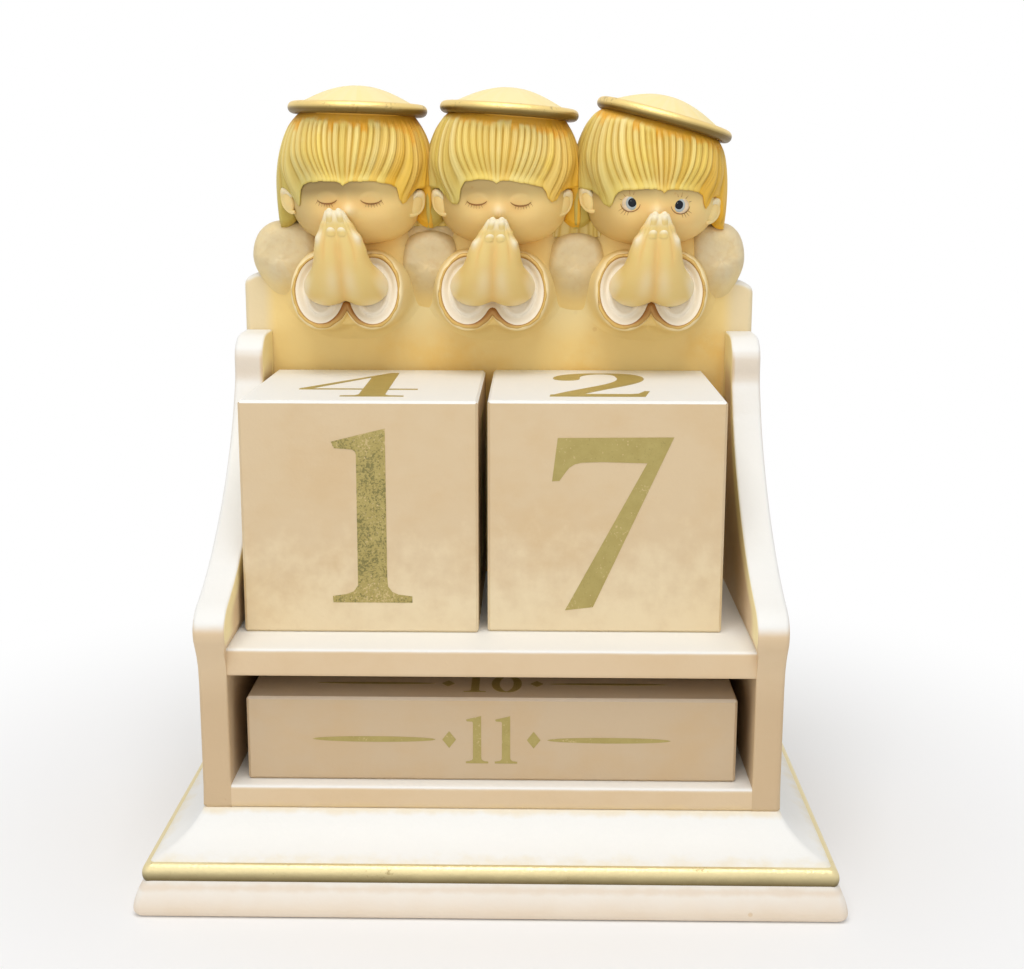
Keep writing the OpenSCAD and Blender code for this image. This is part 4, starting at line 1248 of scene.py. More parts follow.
# Rings of a sleeve from the panel to the inside of its mouth, in mm: how far outside the cuffs'
# outline, and how far forward of the panel
SLEEVE = np.array([[8.0, -0.8], [6.6, -0.2], [5.2, 0.15], [4.0, 0.6], [3.0, 1.3], [2.2, 2.4],
                   [1.65, 3.9], [1.3, 5.6], [1.08, 7.3], [0.9, 8.8], [0.78, 10.0], [0.65, 10.7],
                   [0.42, 11.15], [0.1, 11.35], [-0.25, 11.38], [-0.6, 11.2], [-0.95, 10.95],
                   [-1.3, 10.5], [-1.6, 10.1], [-2.0, 9.95], [-2.35, 10.2], [-2.7, 10.2], [-3.2, 9.85]])


def sleeve_shell(figure):
    """Sleeves: rings that leave the panel in a foot, narrow towards the cuffs, and turn in.

    The foot keeps 0.62 of its listed width below the cuffs, and 0.22 of it above them.
    Near the panel the rings lie flat on it. In front they slope as the cuffs do."""
    angle = -math.pi / 2 - np.linspace(0, 2 * math.pi, 200, endpoint=False)[None, :]
    fine = np.linspace(0, len(SLEEVE) - 1, 90)
    outwards = np.interp(fine, np.arange(len(SLEEVE)), SLEEVE[:, 0])[:, None] * MM
    forward = np.interp(fine, np.arange(len(SLEEVE)), SLEEVE[:, 1])[:, None] * MM
    foot = 0.62 - 0.4 * smoothstep(-0.25, 0.35, np.sin(angle))
    spread = np.where(outwards > 1.6 * MM, 1.6 * MM + (outwards - 1.6 * MM) * foot, outwards)
    grid = cuff_ring(figure, spread + 0 * angle, forward + 0 * angle, angle + 0 * forward)
    flat = smoothstep(7 * MM, 1 * MM, forward)
    grid[..., 1] = grid[..., 1] * (1 - flat) + (figure.panel - forward) * flat
    inside = smoothstep(-0.05 * MM, -0.6 * MM, outwards) + 0 * angle
    # shade falls from 1 to 0 towards the cuffs' lip, where the robe's paint lays a painted highlight.
    shade = smoothstep(11.2 * MM, 8 * MM, forward) + 0 * angle
    return tube(grid), with_tips(inside), with_tips(shade)


def robe_shell(figure):
    """Shoulders between the wings and under the chin: a half round body that narrows to the neck.

    In plan it is a superellipse of power 2 / 0.85, so that it fills the space beside the chin."""
    turn = np.linspace(-math.pi / 2, math.pi / 2, 64)
    up = np.array([-8.2, -7.0, -4.0, 0.5, 3.0, 5.6, 7.6, 9.4, 11.2, 13.0]) * MM
    half = np.array([7.4, 9.0, 9.4, 9.9, 10.2, 10.6, 11.2, 11.6, 11.2, 9.0]) * MM
    ahead = np.array([7.4, 9.0, 9.4, 9.2, 8.5, 7.4, 6.2, 5.0, 3.8, 2.4]) * MM
    z = np.linspace(up[0], up[-1], 44)
    half, ahead = np.interp(z, up, half)[:, None], np.interp(z, up, ahead)[:, None]
    x = np.concatenate([half * np.sign(turn) * np.abs(np.sin(turn)) ** 0.85, half * 0.9, -half * 0.9], 1)
    y = np.concatenate([ahead * np.cos(turn) ** 0.85, 0 * ahead - 2 * MM, 0 * ahead - 2 * MM], 1)
    level = figure.head[2] - 19.3 * MM
    points = np.stack([figure.head[0] + x, figure.panel - y, level + z[:, None] + 0 * x], -1)
    # warm: amber paint under the chin, lightened as painted light in the chin's shadow.
    warm = smoothstep(0.0, 0.006, z)[:, None] * np.exp(-((x - 5 * MM) / (6.5 * MM)) ** 2)
    return tube(points), with_tips(np.zeros(x.shape)), with_tips(1.0 + 0.75 * warm)


def cuff_line(figure):
    """Ochre line round the cuffs: a half-round bead whose width and place waver as a brush does."""
    sweep = np.linspace(0, 2 * math.pi, 300, endpoint=False)
    angle = -math.pi / 2 - sweep
    waver = (np.sin(5 * sweep + figure.index) + 0.6 * np.sin(13 * sweep + 2 * figure.index)
             + 0.35 * np.sin(29 * sweep + figure.index))
    crease = np.exp(-(np.minimum(sweep, 2 * math.pi - sweep) / 0.35) ** 2)
    half = (0.40 + 0.06 * waver + 0.11 * np.sin(2 * sweep + 1.0) + 0.18 * crease) * MM
    section = np.linspace(0, 2 * math.pi, 14, endpoint=False)
    out = (-0.1 + 0.07 * waver)[:, None] * MM + half[:, None] * np.cos(section)[None, :]
    ahead = 11.25 * MM + 0.28 * MM * np.sin(section)[None, :] + 0 * out
    grid = cuff_ring(figure, out, ahead, angle[:, None] + 0 * out)
    notch = np.exp(-(np.minimum(sweep, 2 * math.pi - sweep) / 0.5) ** 2)[:, None]
    dark = np.clip(0.75 * notch + 0.5 * smoothstep(0.2, -0.8, np.cos(section))[None, :], 0, 0.9)
    return hoop(grid), dark.reshape(-1)


# Stations of the hands up their spine, in mm: lean in degrees, distance in front of the panel,
# height over the cuffs' centre, half spacing, half width and half thickness
HANDS = np.array([[14, 9.9, 0.7, 3.8, 4.5, 3.9], [20, 11.7, 0.9, 3.7, 5.2, 4.1],
                  [34, 13.5, 2.3, 2.9, 5.1, 4.2], [54, 15, 4.4, 2.2, 4.3, 4],
                  [72, 15.8, 7, 1.9, 3.65, 3.6], [82, 16.1, 8.9, 1.75, 3.6, 3.2],
                  [86, 16.4, 10.9, 1.45, 3.15, 2.8], [89, 16.6, 12.9, 1.2, 2.4, 2.3],
                  [90, 16.9, 14.6, 1, 1.75, 1.8], [90, 17.1, 15.8, 0.9, 1.35, 1.45],
                  [90, 17.2, 16.5, 0.85, 1, 1]])
HAND_LEAN = {"left": -1.1 * MM, "middle": 0.85 * MM, "right": 0.7 * MM}
HAND_TALL = {"left": 1.0, "middle": 0.90, "right": 0.97}


def hand_drift(height, place):
    """Sideways drift of the hands with height: lean * (height / 14 mm)^1.5."""
    return HAND_LEAN[place] * np.clip(height / (14 * MM), 0, None) ** 1.5


def smoothed(values, width=7):
    """Running mean that keeps the ends in place."""
    padded = np.pad(values, width // 2, mode="reflect", reflect_type="odd")
    return np.convolve(padded, np.ones(width) / width, mode="valid")


def palms_shell(figure):
    """Both palms and wrists, lofted through the stations, with a crease between them.

    Knuckles are soft bumps on the outer side of each hand, and folds run down from the fingers."""
    at = np.linspace(0, len(HANDS) - 1, 90)
    columns = [smoothed(np.interp(at, np.arange(len(HANDS)), HANDS[:, k])) for k in range(6)]
    lean, ahead, up, spacing, wide, thick = columns
    angle = -math.pi / 2 - np.linspace(0, 2 * math.pi, 200, endpoint=False)
    flat = np.stack([lobes(angle, c * MM, a * MM, b * MM) for c, a, b in zip(spacing, wide, thick)])
    lean, rise = np.radians(lean)[:, None], up[:, None]
    tall = 1 + (HAND_TALL[figure.place] - 1) * smoothstep(2, 14, rise)
    side = np.abs(flat[..., 0]) / (spacing + wide)[:, None] / MM
    front = smoothstep(0.1, -0.5, np.sin(angle))[None, :]
    relief = 0.34 * bump(side - 0.9, rise - 11.3, 0.14, 0.9) + 0.2 * bump(side - 0.9, rise - 13.6, 0.2, 0.7)
    relief += 0.10 * bump(side - 0.28, rise - 8.0, 0.2, 4.0) * front
    relief -= 0.15 * np.exp(-((side - 0.62) / 0.06) ** 2) * smoothstep(6.5, 9.5, rise) * front
    relief -= 0.14 * np.exp(-((side - 0.8) / 0.05) ** 2) * smoothstep(10.0, 12.5, rise) * front
    relief -= 0.22 * np.exp(-(flat[..., 0] / (0.6 * MM)) ** 2) * smoothstep(1.0, 4.0, rise) \
        * smoothstep(15.5, 12, rise) * front
    flat = flat * (1 + relief / np.linalg.norm(flat, axis=-1) * MM)[..., None]
    x = figure.cuffs[0] + flat[..., 0] + hand_drift(rise * MM, figure.place)
    y = figure.panel - ahead[:, None] * MM + np.sin(lean) * flat[..., 1]
    z = figure.cuffs[2] + rise * MM * tall + np.cos(lean) * flat[..., 1]
    height = (z - figure.cuffs[2]) / MM
    # pale: painted highlights on the knuckles, palms, fingertips and wrists.
    pale = 0.8 * bump(side - 0.86, rise - 11.3, 0.13, 1.2)
    pale += 0.3 * bump(side - 0.28, rise - 4.5, 0.2, 2.0) * front
    pale += 0.7 * smoothstep(13.5, 15.8, rise)
    pale += 0.5 * smoothstep(-0.5, -3.5, height) * smoothstep(0.25, 0.75, side)
    pale += 0.6 * smoothstep(0.82, 0.99, side) * smoothstep(5.0, 1.5, rise)
    # blush here is painted shade, warm and dark in the crease between the hands and along a fold.
    blush = 0.34 * np.exp(-(flat[..., 0] / (1.1 * MM)) ** 2) * smoothstep(14, 9, rise)
    blush += 0.3 * np.exp(-((side - 0.6) / 0.1) ** 2) * smoothstep(5, 9, rise) * smoothstep(13, 11, rise)
    blush = blush * front
    return tube(np.stack([x, y, z], -1)), with_tips(np.clip(blush, 0, 1)), with_tips(np.clip(pale, 0, 1))


# Fingers of one hand, in mm: distance of the root and the tip in front of the panel, height of the
# root and the tip, half spacing of the root and the tip, and radius. The little finger is in front.
FINGERS = np.array([[17.2, 18.15, 6.5, 13.5, 1.9, 1.1, 1.55], [17.2, 18, 8, 16.4, 1.7, 0.95, 1.18],
                    [16.2, 17.5, 8, 17, 1.7, 0.93, 1.2], [15.2, 16.6, 8, 16.6, 1.7, 0.92, 1.2]])


def finger_shells(figure):
    """Eight fingers: tubes along slightly bowed paths that close in at round tips.

    Radius along a finger is r * (1.15 - 0.28 * t) * (1 - t^9)^0.5, with a faint swelling at each of
    two joints."""
    shells, blush, pale = [], [], []
    t = 1 - np.linspace(1, 0, 44) ** 1.4
    around = np.linspace(0, 2 * math.pi, 28, endpoint=False)
    for side in (-1, 1):
        for root, tip, low, top, wide, narrow, radius in FINGERS:
            up = low + (top - low) * t
            ahead = root + (tip - root) * t - 0.35 * np.sin(math.pi * t)
            apart = wide * (1 - t) ** 1.2 + narrow * t
            joint = 1 + 0.06 * np.exp(-((t - 0.45) / 0.07) ** 2) + 0.05 * np.exp(-((t - 0.74) / 0.06) ** 2)
            thick = radius * (1.15 - 0.28 * t) * joint * np.sqrt(np.clip(1 - t ** 9, 0.0004, 1))
            x = figure.cuffs[0] + side * apart * MM + hand_drift(up * MM, figure.place)
            up = up * (1 + (HAND_TALL[figure.place] - 1) * smoothstep(2, 14, up))
            path = np.stack([x, figure.panel - ahead * MM, figure.cuffs[2] + up * MM], -1)
            ring = np.stack([np.cos(around), np.sin(around) * 1.1, 0 * around], -1)
            shells.append(tube(path[:, None, :] + thick[:, None, None] * MM * ring[None]))
            # A painted highlight on each fingertip.
            tone = 0.8 * smoothstep(0.8, 0.97, t)
            pale.append(with_tips(np.broadcast_to(tone[:, None], (44, 28))))
            blush.append(with_tips(np.broadcast_to(0.2 * smoothstep(0.7, 0.2, t)[:, None], (44, 28))))
    return shells, blush, pale


# ---------- wings ----------


def wing_shell(node):
    """A cushioned lobe in the CAD wing's box, seen from the front.

    Upwards it is flat with a faint rim and closes in a round edge, (1 - s^6)^0.5. Downwards it runs
    out onto the panel in a soft foot, (1 - s^2)^2, and on the lobes between the figures that foot
    reaches further down. On the two end lobes it is (1 - s^2)^1.1, and they narrow downwards. The
    two rear rings lie 0.6 mm inside the panel, or 0.2 mm where the CAD wing stands off it."""
    low, high = corners(node)
    panel = corners("back_panel")[0][1]
    middle, half = (low + high) / 2, (high - low) / 2
    angle = np.linspace(0, 2 * math.pi, 160, endpoint=False)[None, :]
    down = smoothstep(0.15, -0.75, np.sin(angle))
    # Which way along x the figures lie from an end lobe, and 0 for a lobe between figures
    inwards = {"wing_outer_left": 1, "wing_outer_right": -1}.get(node, 0)
    at_end = inwards != 0
    power = 2.3 - 0.2 * down * at_end
    reach = (np.abs(np.cos(angle)) ** power + np.abs(np.sin(angle)) ** power) ** (-1 / power)
    if at_end:
        reach = reach * (1 + 0.3 * smoothstep(0.2, 0.9, inwards * np.cos(angle)))
    else:
        reach = reach * (1 + 0.34 * down)
        reach = reach * (1 + 0.10 * smoothstep(0.3, 0.9, np.abs(np.cos(angle))))
    rings = np.sqrt(np.linspace(1, 0.0004, 46))[1:]
    share = np.concatenate([[0.5, 0.97, 1.0], rings])[:, None]
    body = np.concatenate([[0, 0, 0.10], np.ones(len(rings))])[:, None]
    rounded = np.clip(1 - share ** 6, 0.0, None) ** 0.5 * (0.9 + 0.1 * smoothstep(0.3, 0.85, share))
    foot = np.clip(1 - share ** 2, 0.0, None) ** (1.1 if at_end else 2)
    rise = body * ((1 - down) * rounded + down * foot)
    taper = 1 - 0.20 * smoothstep(0.1, -1.0, share * np.sin(angle)) * at_end
    x = middle[0] + half[0] * share * reach * np.cos(angle) * taper
    z = middle[2] + half[2] * share * reach * np.sin(angle)
    u, v = x / MM, z / MM
    dab = (np.sin(1.9 * u + 2 * np.sin(1.3 * v)) * np.sin(1.6 * v + 1.7 * np.sin(1.1 * u))
           + 0.5 * np.sin(4.7 * u + 2 * np.sin(3.3 * v)) * np.sin(4.1 * v))
    y = panel - 0.02 * MM - (panel - low[1]) * rise + 0.045 * MM * dab * rise
    y += 0.3 * MM * down * smoothstep(0.85, 1.0, share) * (not at_end)
    y[:2] = panel + (0.2 if high[1] < panel - 1 * MM else 0.6) * MM
    shade = np.clip(down * smoothstep(0.3, 0.9, share), 0, 1) * (0.55 if at_end else 1.0) + 0 * x
    return tube(np.stack([x, y, z], -1)), with_tips(shade)


# ---------- numerals ----------

STEM, HAIRLINE = 0.082, 0.018


def pen(path):
    """A stroke of a broad pen: thick where it runs up or down, thin where it runs across.

    Half width is the hairline plus (stem - hairline) * |sin of the stroke's slope|^1.6."""
    path = np.asarray(path, float)
    step = np.gradient(path, axis=0)
    step /= np.linalg.norm(step, axis=1, keepdims=True)
    half = HAIRLINE + (STEM - HAIRLINE) * np.abs(step[:, 1]) ** 1.6
    across = np.stack([-step[:, 1], step[:, 0]], -1) * half[:, None]
    return path + across, path - across


def bowed(*points):
    """Points along a chain of cubic Bezier arcs."""
    p = np.array(points, float)
    t = np.linspace(0, 1, 24)[:, None]
    u = 1 - t
    runs = [u ** 3 * p[i] + 3 * u ** 2 * t * p[i + 1] + 3 * u * t ** 2 * p[i + 2] + t ** 3 * p[i + 3]
            for i in range(0, len(p) - 1, 3)]
    return np.concatenate([runs[0]] + [run[1:] for run in runs[1:]])


def loop(x, y, half_x, half_y):
    """A closed oval stroke, whose two ends meet."""
    angle = np.linspace(0, 2 * math.pi, 65)
    return np.stack([x + half_x * np.cos(angle), y + half_y * np.sin(angle)], -1)


def ball(x, y, r):
    """The round end of a stroke."""
    angle = np.linspace(0, 2 * math.pi, 24, endpoint=False)
    return np.stack([x + r * np.cos(angle), y + r * np.sin(angle)], -1)


# Each digit: its width, the pen strokes, and the filled outlines. Heights run from 0 to 1.
BALL = 0.082
DIGITS = {
    "0": (0.62, [loop(0.31, 0.5, 0.225, 0.482)], []),
    "1": (0.50, [], [
        [(0.335, 1.0), (0.336, 0.15), (0.34, 0.094), (0.365, 0.062), (0.4, 0.047), (0.477, 0.037),
         (0.477, 0.0), (0.029, 0.0), (0.026, 0.037), (0.1, 0.048), (0.145, 0.064), (0.17, 0.1),
         (0.172, 0.855), (0.165, 0.872), (0.148, 0.882), (0.09, 0.886), (0.05, 0.889),
         (0.034, 0.925), (0.22, 0.972)]]),
    "2": (0.60, [
        bowed((0.09, 0.74), (0.07, 1.0), (0.5, 1.09), (0.48, 0.74), (0.47, 0.5), (0.2, 0.3), (0.06, 0.03))], [
        ball(0.09, 0.74, BALL),
        [(-0.02, 0.0), (0.52, 0.0), (0.56, 0.22), (0.53, 0.22), (0.49, 0.12), (0.44, 0.1), (0.1, 0.1),
         (-0.015, 0.07)]]),
    "3": (0.58, [
        bowed((0.09, 0.8), (0.12, 1.04), (0.47, 1.04), (0.44, 0.76), (0.42, 0.6), (0.3, 0.54), (0.19, 0.53)),
        bowed((0.19, 0.53), (0.36, 0.56), (0.49, 0.44), (0.48, 0.28), (0.46, -0.03), (0.12, -0.06),
              (0.07, 0.16))], [ball(0.09, 0.8, BALL), ball(0.07, 0.16, BALL)]),
    "4": (0.64, [], [
        [(0.43, 1.0), (0.40, 1.0), (-0.07, 0.31), (-0.07, 0.27), (0.0, 0.31)],
        [(-0.07, 0.27), (0.62, 0.27), (0.62, 0.31), (-0.07, 0.31)],
        [(0.43, 1.0), (0.30, 0.78), (0.30, 0.08), (0.28, 0.045), (0.2, 0.035), (0.2, 0.0), (0.56, 0.0),
         (0.56, 0.035), (0.47, 0.045), (0.45, 0.08), (0.45, 1.0)]]),
    "5": (0.56, [
        bowed((0.1, 0.52), (0.22, 0.68), (0.5, 0.62), (0.47, 0.3), (0.44, -0.02), (0.14, -0.07),
              (0.06, 0.14))], [
        ball(0.06, 0.14, BALL),
        [(0.1, 1.0), (0.48, 1.0), (0.45, 0.87), (0.13, 0.87), (0.12, 0.52), (0.085, 0.52)]]),
    "6": (0.60, [
        loop(0.3, 0.3, 0.2, 0.282), bowed((0.1, 0.32), (0.1, 0.66), (0.26, 0.92), (0.52, 0.985))], []),
    "7": (0.68, [], [
        [(0.03, 0.994), (0.676, 1.0), (0.237, 0.019), (0.079, 0.0), (0.53, 0.853), (0.278, 0.859),
         (0.165, 0.855), (0.125, 0.845), (0.095, 0.825), (0.079, 0.805), (0.041, 0.751), (0.0, 0.748)]]),
    "8": (0.60, [loop(0.3, 0.77, 0.155, 0.212), loop(0.3, 0.28, 0.205, 0.262)], []),
}
DIGITS["9"] = (0.60, [np.array([0.6, 1.0]) - stroke for stroke in DIGITS["6"][1]], [])


class Face:
    """One face of a block: its middle, its outward normal, and its own right and up."""

    def __init__(self, node, side):
        low, high = corners(node)
        centre, half = (low + high) / 2, (high - low) / 2
        ways = {"front": ((0, -1, 0), (1, 0, 0), (0, 0, 1)), "back": ((0, 1, 0), (-1, 0, 0), (0, 0, 1)),
                "top": ((0, 0, 1), (1, 0, 0), (0, 1, 0)), "bottom": ((0, 0, -1), (1, 0, 0), (0, -1, 0)),
                "left": ((-1, 0, 0), (0, -1, 0), (0, 0, 1)), "right": ((1, 0, 0), (0, 1, 0), (0, 0, 1))}
        self.out, self.right, self.up = (np.array(v, float) for v in ways[side])
        self.middle = centre + self.out * np.abs(self.out @ half)

    def place(self, flat, lift):
        flat = np.asarray(flat)
        return self.middle + flat[..., :1] * self.right + flat[..., 1:] * self.up + self.out * lift


def plate(face, left, right, lift):
    """A thin strip of paint between two edges on a face, from inside the block to lift above it."""
    rows = [face.place(left, -0.1 * MM), face.place(left, lift), face.place(right, lift),
            face.place(right, -0.1 * MM)]
    return tube(np.stack(rows, 1))


def filled(face, outline, lift):
    """A filled outline: two rings of the outline, with one many-sided face at each end."""
    outline = np.asarray(outline, float)
    count = len(outline)
    points = np.concatenate([face.place(outline, -0.1 * MM), face.place(outline, lift)])
    j = np.arange(count)
    k = (j + 1) % count
    return points, np.stack([j, k, k + count, j + count], -1), np.stack([j[::-1], j + count])


def number_shells(face, text, height, shift=(0.0, 0.0)):
    """The digits of a number, centred on a face."""
    s = sizes()
    wide = sum(DIGITS[c][0] for c in text) + 0.08 * (len(text) - 1)
    pen_x = -wide / 2
    strips, fills = [], []
    for c in text:
        width, strokes, outlines = DIGITS[c]
        origin = np.array([pen_x, -0.5])
        for step, stroke in enumerate(strokes):
            left, right = (side + origin for side in pen(stroke))
            thick = s.paint * (1 + 0.06 * step)
            strips.append(plate(face, left * height + shift, right * height + shift, thick))
        for step, outline in enumerate(outlines):
            flat = (np.asarray(outline) + origin) * height + shift
            fills.append(filled(face, flat, s.paint * (1.2 + 0.06 * step)))
        pen_x += width + 0.08
    return strips, fills, wide * height


def rule_shells(face, inner, outer, half):
    """Two swelling rules beside a number, and a small lozenge at each inner end."""
    s = sizes()
    t = np.linspace(-1, 1, 40)
    strips, fills = [], []
    for side in (-1, 1):
        x = side * ((inner + outer) / 2 + (outer - inner) / 2 * t)
        thick = half * np.sqrt(np.clip(1 - t ** 2, 0.001, 1))
        strips.append(plate(face, np.stack([x, thick], -1), np.stack([x, -thick], -1), s.paint))
        gem = inner - 2.6 * MM
        size = 1.3 * MM
        fills.append(filled(face, [(side * gem + size, 0), (side * gem, size * 1.3), (side * gem - size, 0),
                                   (side * gem, -size * 1.3)], s.paint))
    return strips, fills


def paint_node(node, material):
    """Gives a CAD node its finish."""
    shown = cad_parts[node]
    for slot in shown.material_slots:
        slot.material = material


# ---------- operators ----------


class CALENDAR_OT_stand(bpy.types.Operator):
    """Models the base, the case and the panel as soft-edged castings"""
    bl_idname = "calendar.stand"
    bl_label = "Stand"

    def execute(self, context):
        self.base()
        self.case()
        return {"FINISHED"}

    def base(self):
        c = colours()
        case_low, slab_top = corners("case_floor")[0][2], corners("base_slab")[1][2]
        low, high = corners("base_slab")
        piece("cast_base_slab", [moulding_shell(low, high, slab_profile(low, high), 1.6 * MM)],
              resin("slab_paint", c.slab, 0.12, (slab_top - 1.6 * MM, 1.0 * MM), wash_share=0.25, tops=0.6),
              stands_for=["base_slab"])
        low, high = corners("gold_bead")
        piece("cast_gold_bead", [moulding_shell(low, high, bead_profile(low, high), 1.2 * MM)],
              gold_material("bead_gilding", 0.45, c.bead, c.bead_painted_shade),
              stands_for=["gold_bead"])
        low, high = corners("base_cove")
        top_inset = -low[0] - corners("cheek_right")[1][0]
        piece("cast_base_cove", [moulding_shell(low, high, cove_profile(low, high, top_inset), 1.0 * MM)],
              resin("cove_paint", c.cove, 0.04, (case_low, 1.3 * MM), c.cove_wash,
                    gilt_to=corners("gold_bead")[1][2] + 1.0 * MM),
              stands_for=["base_cove"])

    def case(self):
        """The cheeks, the floor, the shelf and the panel, whose left shoulder stands 1.5 mm higher."""
        case_low, shelf = corners("case_floor")[0][2], corners("cube_shelf")
        floor_top, front = corners("case_floor")[1][2], shelf[0][1]
        case = resin("case_paint", colours().cream, 0.14, (case_low, 1.4 * MM), colours().case_wash)

        def open_front(rim):
            """Where a cheek's inner front edge is rounded: not where the shelf or the floor meets it."""
            y, z = rim[:, 0], rim[:, 1]
            shelf_part = smoothstep(shelf[0][2] - 1.0 * MM, shelf[0][2] + 0.2 * MM, z) \
                * smoothstep(shelf[1][2] + 1.6 * MM, shelf[1][2] - 0.2 * MM, z)
            floor_part = smoothstep(floor_top + 1.0 * MM, floor_top - 0.2 * MM, z)
            return 1 - np.maximum(shelf_part, floor_part) * (y < front + 3 * MM)

        def square_top(rim):
            """Draws the cheek's top corner forward by 4 mm, so that it stands square."""
            y, z = rim[:, 0], rim[:, 1]
            forward = 4.0 * MM * smoothstep(92 * MM, 100.5 * MM, z) * smoothstep(23 * MM, 20 * MM, y)
            return np.stack([y - forward, z], -1)

        def stout(rim):
            """Above the shelf the cheeks are 0.6 mm thicker, on the inside."""
            return 0.6 * MM * smoothstep(shelf[1][2] - 0.5 * MM, shelf[1][2] + 1.5 * MM, rim[:, 1])

        side_paint = cheek_paint(case_low, shelf[1][2], corners("cheek_right")[0][0])
        points, quads, ends = plate_shell("cheek_left", 0, (0.82, 0.40), 0.9 * MM, 0.5 * MM, open_front,
                                          ease=1.2 * MM, shape=square_top, thicken=stout)
        for side, mirror in (("left", 1), ("right", -1)):
            piece("cast_cheek_" + side, [(points * np.array([mirror, 1, 1]), quads, ends)], side_paint,
                  stands_for=["cheek_" + side])
        for node in ("case_floor", "cube_shelf"):
            shell = plate_shell(node, 0, (0.5, 0.5), 0.01 * MM, 0.01 * MM, None, 0.25 * MM, 2.0 * MM)
            piece("cast_" + node, [shell], case, stands_for=[node])

        def raised_left(rim):
            """Lifts the panel's left shoulder by 1.5 mm."""
            x, z = rim[:, 0], rim[:, 1]
            lift = 1.5 * MM * smoothstep(-46 * MM, -52 * MM, x) * smoothstep(104 * MM, 110 * MM, z)
            return np.stack([x, z + lift], -1)

        shell = plate_shell("back_panel", 1, (0.5, 0.5), 1.2 * MM, 1.2 * MM, ease=2.2 * MM, shape=raised_left)
        piece("cast_back_panel", [shell], panel_paint(), stands_for=["back_panel"])


CUBE_FACES = {
    "day_cube_left": {"front": "1", "top": "4", "left": "0", "right": "5", "back": "3", "bottom": "2"},
    "day_cube_right": {"front": "7", "top": "2", "left": "8", "right": "6", "back": "1", "bottom": "0"},
}
BAR_FACES = {
    "month_bar_front": {"front": "11", "top": "10", "back": "9", "bottom": "12"},
    "month_bar_middle": {"front": "7", "top": "6", "back": "5", "bottom": "8"},
    "month_bar_back": {"front": "3", "top": "2", "back": "1", "bottom": "4"},
}
BODY_OF = {"day_cube_left": "cube_left", "day_cube_right": "cube_right", "month_bar_front": "bar_front",
           "month_bar_middle": "bar_middle", "month_bar_back": "bar_back"}


class CALENDAR_OT_blocks(bpy.types.Operator):
    """Paints the day cubes and the month bars, and lays the numerals on their faces"""
    bl_idname = "calendar.blocks"
    bl_label = "Blocks and numerals"

    def execute(self, context):
        s = sizes()
        cube_low = corners("day_cube_left")[0][2]
        block = resin("block_paint", colours().block, pale_foot=cube_low - 2 * MM)
        bar = resin("bar_paint", colours().bar, tops=0.25)
        worn, gold = numeral_material("numeral_worn", 1.0), numeral_material("numeral_gold", 0.35)
        for node, faces in CUBE_FACES.items():
            paint_node(node, block)
            for side, text in faces.items():
                face = Face(node, side)
                shift = (2.2 * MM, 0.4 * MM) if node == "day_cube_left" else (1.2 * MM, -1.2 * MM)
                shift = shift if side == "front" else (0.0, 0.0)
                strips, fills, _ = number_shells(face, text, s.digit, shift)
                piece(f"numeral_{node}_{side}", strips + fills, worn if text == "1" else gold,
                      BODY_OF[node], smooth=False)
        for node, faces in BAR_FACES.items():
            paint_node(node, bar)
            for side, text in faces.items():
                face = Face(node, side)
                strips, fills, wide = number_shells(face, text, s.month_digit)
                more, gems = rule_shells(face, wide / 2 + 5.5 * MM, s.month_band / 2, 0.55 * MM)
                piece(f"month_{node}_{side}", strips + more + fills + gems, gold, BODY_OF[node],
                      smooth=False)
        return {"FINISHED"}


class CALENDAR_OT_heads(bpy.types.Operator):
    """Models the three heads with their ears and painted eyes"""
    bl_idname = "calendar.heads"
    bl_label = "Heads"

    def execute(self, context):
        skin = skin_material("skin_paint", colours().skin)
        brown = flat_paint("lash_paint", colours().lash)
        for place in PLACES:
            figure = Figure(place)
            shell, blush, pale, brow = head_shell(figure)
            piece("face_" + place, [shell], skin, stands_for=["head_" + place],
                  values={"blush": [blush], "pale": [pale], "brow": [brow]})
            shells, blush, pale = ear_shells(figure)
            piece("ears_" + place, shells, skin, values={"blush": blush, "pale": pale})
            if place != "right":
                piece("lashes_" + place, closed_lashes(figure), brown, smooth=False)
        self.open_eyes(Figure("right"), brown)
        return {"FINISHED"}

    def open_eyes(self, figure, brown):
        """Four painted spots on each eye: towards its outer side, sideways, up, radius, dome, squash."""
        c = colours()
        for name, paint, outwards, x, z, radius, dome, squash in (
                ("eye_whites", flat_paint("eye_white", c.eye_white), 0.35, 0, -0.1, 1.7, 0.10, 0.92),
                ("eye_irises", flat_paint("eye_iris", c.iris), 0, 0, 0, 1.3, 0.16, 1.06),
                ("eye_pupils", flat_paint("eye_pupil", c.pupil, 0.45, 0.12), 0, 0, 0.05, 0.98, 0.24, 1.06),
                ("eye_glints", flat_paint("eye_glint", c.glint, 0.2), 0, -0.3, 0.42, 0.09, 0.29, 1.0)):
            spots = [painted_disc(eye + (side * outwards + x) * MM, up + z * MM, radius * MM, "right",
                                  figure.head, dome * MM, squash)
                     for side, (eye, up) in zip((-1, 1), EYES["right"])]
            piece(name, spots, paint)
        piece("lashes_right", open_lashes(figure), brown, smooth=False)


class CALENDAR_OT_hair(bpy.types.Operator):
    """Carves the three heads of hair"""
    bl_idname = "calendar.hair"
    bl_label = "Hair"

    def execute(self, context):
        paint = hair_material()
        for place in PLACES:
            shell, values = hair_shell(Figure(place))
            piece("carved_hair_" + place, [shell], paint, stands_for=["hair_" + place],
                  values=values)
        level = Figure("middle").head[2]
        for side, x, low, top in (("left", -14.2, -7.2, 9.8), ("right", 16.6, -9.4, 7.0)):
            shell, values = hair_web(x * MM, level + low * MM, level + top * MM)
            piece("hair_web_" + side, [shell], paint, values=values)
        return {"FINISHED"}


